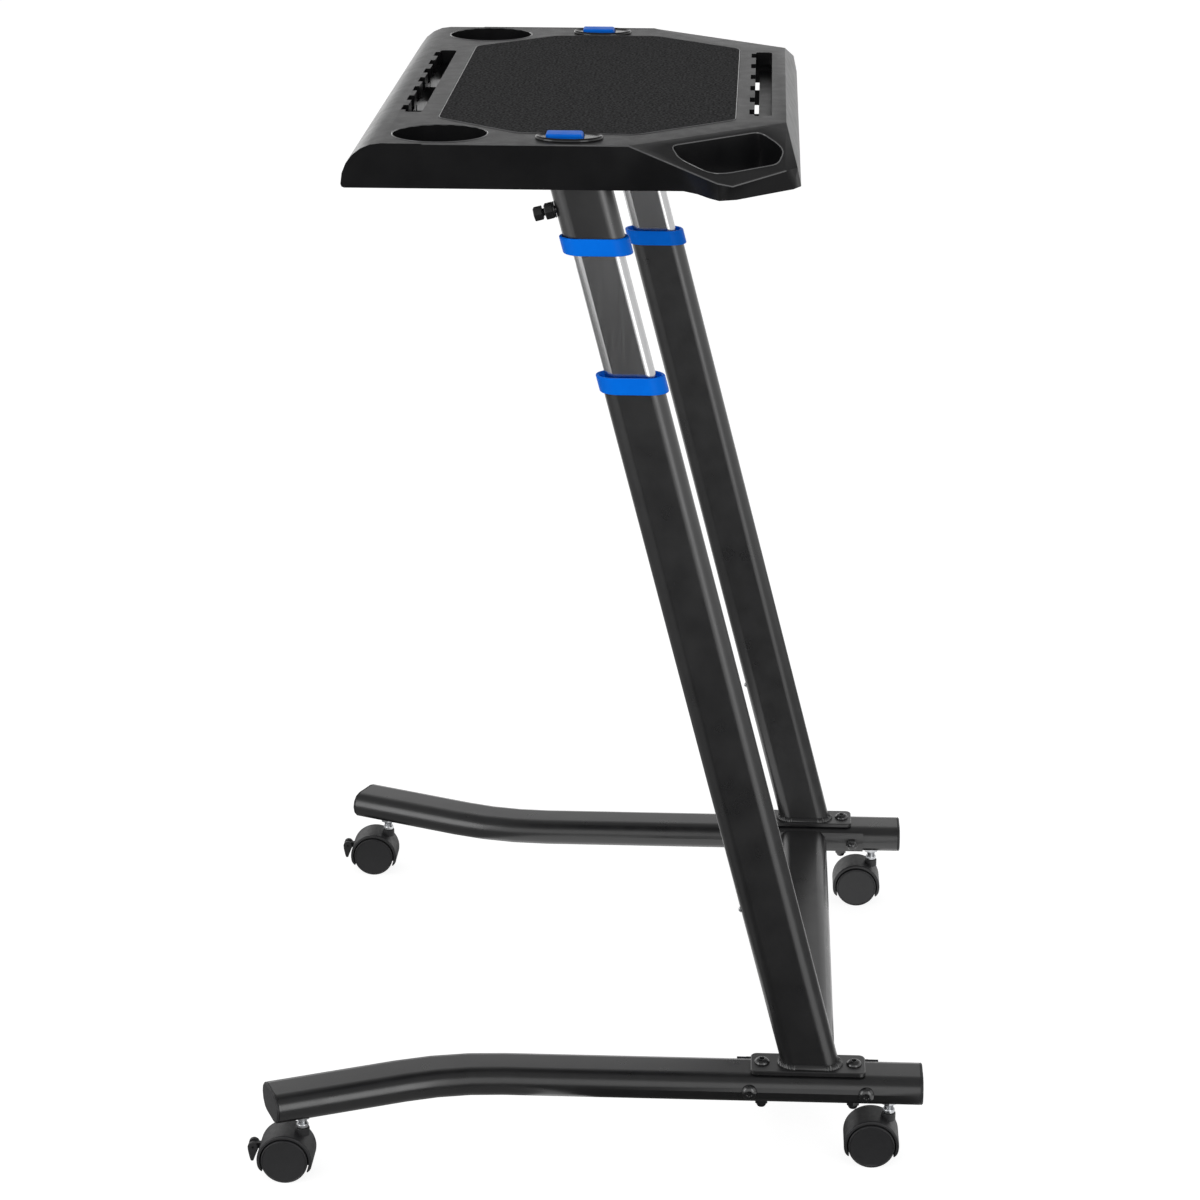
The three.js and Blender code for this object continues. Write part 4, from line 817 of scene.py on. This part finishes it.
def handle_bead(bm):
    corners = []
    for along, out in HANDLE:
        reach = out * FACET_WIDTH
        plan = FACET_START + FACET_ALONG * along * FACET_LENGTH + FACET_OUT * (reach + 0.2)
        corners.append(Vector((plan.x, plan.y, DESK_TOP - 0.1 - reach * FACET_SLOPE)))
    up = Vector((FACET_OUT.x * FACET_SLOPE, FACET_OUT.y * FACET_SLOPE, 1)).normalized()
    bead(bm, eased(corners, 10), 0.7, up)


def cup_bead(bm):
    path = [Vector(point) for point in circle(47.3, 1101.85, half_points=48)]
    bead(bm, [point + Vector((*CUP_MIDDLE, 0)) for point in path], 0.8, Vector((0, 0, 1)))


def mat_bead(bm):
    """The lip of the recess that the mat lies in."""
    plan = ((227, -156.9), (304.8, -71.8), (308.9, 46.9), (222.5, 143.2))
    half = [Vector((x, y, DESK_TOP + 0.15)) for x, y in plan]
    other = [Vector((-p.x, p.y, p.z)) for p in half[::-1]]
    bead(bm, eased(half + other, 8), 0.5, Vector((0, 0, 1)))


def edge_bead(bm):
    """The rounded edge along the desk's side and round the ear's rim."""
    path = [Vector((DESK_SIDE - 0.1, y, DESK_TOP - 0.4)) for y in (-160, -60, 41.2)]
    for i, (x, y) in enumerate(EAR_RIM[2:], start=2):
        before, after = EAR_RIM[i - 1], EAR_RIM[min(i + 1, len(EAR_RIM) - 1)]
        along = Vector((after[0] - before[0], after[1] - before[1])).normalized()
        path.append(Vector((x + 0.5 * along.y, y - 0.5 * along.x, facet_height(x, y))))
    bead(bm, path, 0.8, Vector((0, 0, 1)), closed=False)


def ear_wall(bm):
    """Side wall and rolled edge of the ear, from the desk's side round to its rear corner."""
    def outward(points, i):
        before = Vector(points[max(i - 1, 0)])
        after = Vector(points[min(i + 1, len(points) - 1)])
        along = (after - before).normalized()
        return Vector((along.y, -along.x))

    foot, rim, lip = [], [], []
    for i, off in enumerate(EAR_OFFSETS):
        foot_out, rim_out = outward(EAR_FOOT, i), outward(EAR_RIM, i)
        low = Vector(EAR_FOOT[i]) + foot_out * off
        edge = Vector(EAR_RIM[i]) + rim_out * off
        inner = Vector(EAR_RIM[i]) - rim_out * LIP_WIDTH
        foot.append(bm.verts.new((low.x, low.y, EAR_FOOT_HEIGHT)))
        rim.append(bm.verts.new((edge.x, edge.y, facet_height(*EAR_RIM[i]) + 0.5 * off)))
        lip.append(bm.verts.new((inner.x, inner.y, facet_height(inner.x, inner.y) + 0.5 * off)))
    for i in range(len(EAR_OFFSETS) - 1):
        bm.faces.new((foot[i], foot[i + 1], rim[i + 1]))
        bm.faces.new((foot[i], rim[i + 1], rim[i]))
        bm.faces.new((rim[i], rim[i + 1], lip[i + 1], lip[i]))
    bmesh.ops.recalc_face_normals(bm, faces=bm.faces[:])
    if sum(face.normal.x * face.calc_area() for face in bm.faces) < 0:
        bmesh.ops.reverse_faces(bm, faces=bm.faces[:])
    bmesh.ops.solidify(bm, geom=bm.faces[:], thickness=WALL_THICKNESS)


def build_casters(side, finishes):
    for end, (x, y) in STEMS.items():
        stand_in(f"caster_stem_{end}", side, stem(x, y), finishes)
        stand_in(f"caster_hood_{end}", side, hood(x, y, end == "front"), finishes)
        for place, outwards in (("outer", 1), ("inner", -1)):
            disc = wheel(x + outwards * WHEEL_OFFSET, y - AXLE_TRAIL, outwards)
            stand_in(f"wheel_{end}_{place}", side, disc, finishes, sharp=50)
    stand_in("brake_lever", side, lever(*STEMS["front"]), finishes, bevel=0.5)


def build_bolts(side, finishes):
    for end, y in zip(("front", "rear"), FLANGE_BOLT_Y):
        place = Matrix.Translation((LEG_X / MM, y / MM, 112.6))
        stand_in(f"flange_bolt_{end}", side, bolt(place, 37.6, 4.0), finishes)
        added(f"flange_washers_{end}", side, washers(place, -37.9), finishes, "zinc", "base")
    for end, y in zip(("front", "rear"), SADDLE_BOLT_Y):
        place = Matrix.Translation((SADDLE_FACE, y / MM, LEG_MIDDLE / MM)) @ ALONG_X
        stand_in(f"crossbar_bolt_{end}", side, bolt(place, 64.9, 1.9, 2.2), finishes)


def build_posts(side, finishes):
    stand_in("lower_collar", side, collar(LOWER_COLLAR), finishes)
    stand_in("upper_collar", side, collar(UPPER_COLLAR), finishes)
    stand_in("lower_post", side, post, finishes)
    added("foot_weld", side, weld, finishes, "frame_paint", "base")
    stand_in("clamp_bolt", side, clamp, finishes)


def build_desk(side, finishes, painted_rim_highlights, caps):
    added("ear_wall", side, ear_wall, finishes, "top_plastic", "desk", bevel=0.9, sharp=50)
    # The beads are coloured with the painted highlight grey, not the desk top's black
    for name, build in (("handle_bead", handle_bead), ("cup_bead", cup_bead), ("edge_bead", edge_bead)):
        added(name, side, build, painted_rim_highlights, "top_plastic", "desk")
    stand_in("button_bezel", side, bezel, finishes)
    stand_in("release_button", side, button, caps)
    coil = stand_in("button_spring", side, spring, finishes)
    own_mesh(coil)


def build_details(finishes):
    # Painted shade: the button gets a darker copy of the collars' blue plastic, because its top catches more
    # light from above
    caps = {"blue_plastic": blue_plastic("button_plastic_painted_shade", 0.13, 0.64)}
    # Painted highlight on the rim beads: a lighter grey in the desk top's slot
    painted_rim_highlights = {"top_plastic": painted_highlight_plastic()}
    lip = bmesh.new()
    mat_bead(lip)
    piece("mat_bead", lip, painted_rim_highlights["top_plastic"], "desk", "top_plastic")
    for side in ("R", "L"):
        build_casters(side, finishes)
        build_bolts(side, finishes)
        build_posts(side, finishes)
        build_desk(side, finishes, painted_rim_highlights, caps)


place_camera()
build_world()
build_floor()
build_cards()
build_lights()

finishes = {
    "frame_paint": powder_coat(),
    "black_plastic": fine_plastic(),
    "blue_plastic": blue_plastic(),
    "bright_tube": bright_tube(),
    "zinc": zinc_plate(),
    "black_bolt": black_bolt(),
    "top_plastic": top_plastic(),
    "mat_foam": mat_foam(),
    "bezel_plastic": gloss_black(),
}
bevel_of = {
    "frame_paint": 0.4 * MM,
    "black_plastic": 0.5 * MM,
    "blue_plastic": 0.6 * MM,
    "bright_tube": 0.2 * MM,
    "zinc": 0.3 * MM,
    "black_bolt": 0.4 * MM,
    "top_plastic": 0.9 * MM,
    "mat_foam": 0.4 * MM,
    "bezel_plastic": 0.4 * MM,
}
CAP_BEVEL = 0.3 * MM  # a wider one folds over the caps' own chamfer
build_details(finishes)
for node in nodes:
    slot = slot_of[node]
    bevel = CAP_BEVEL if node.startswith("leg_cap") else bevel_of[slot]
    dress(node, finishes[slot], bevel, flatness=0.0 if node == "desktop" else 1.0)

bpy.context.scene.view_settings.view_transform = "Standard"
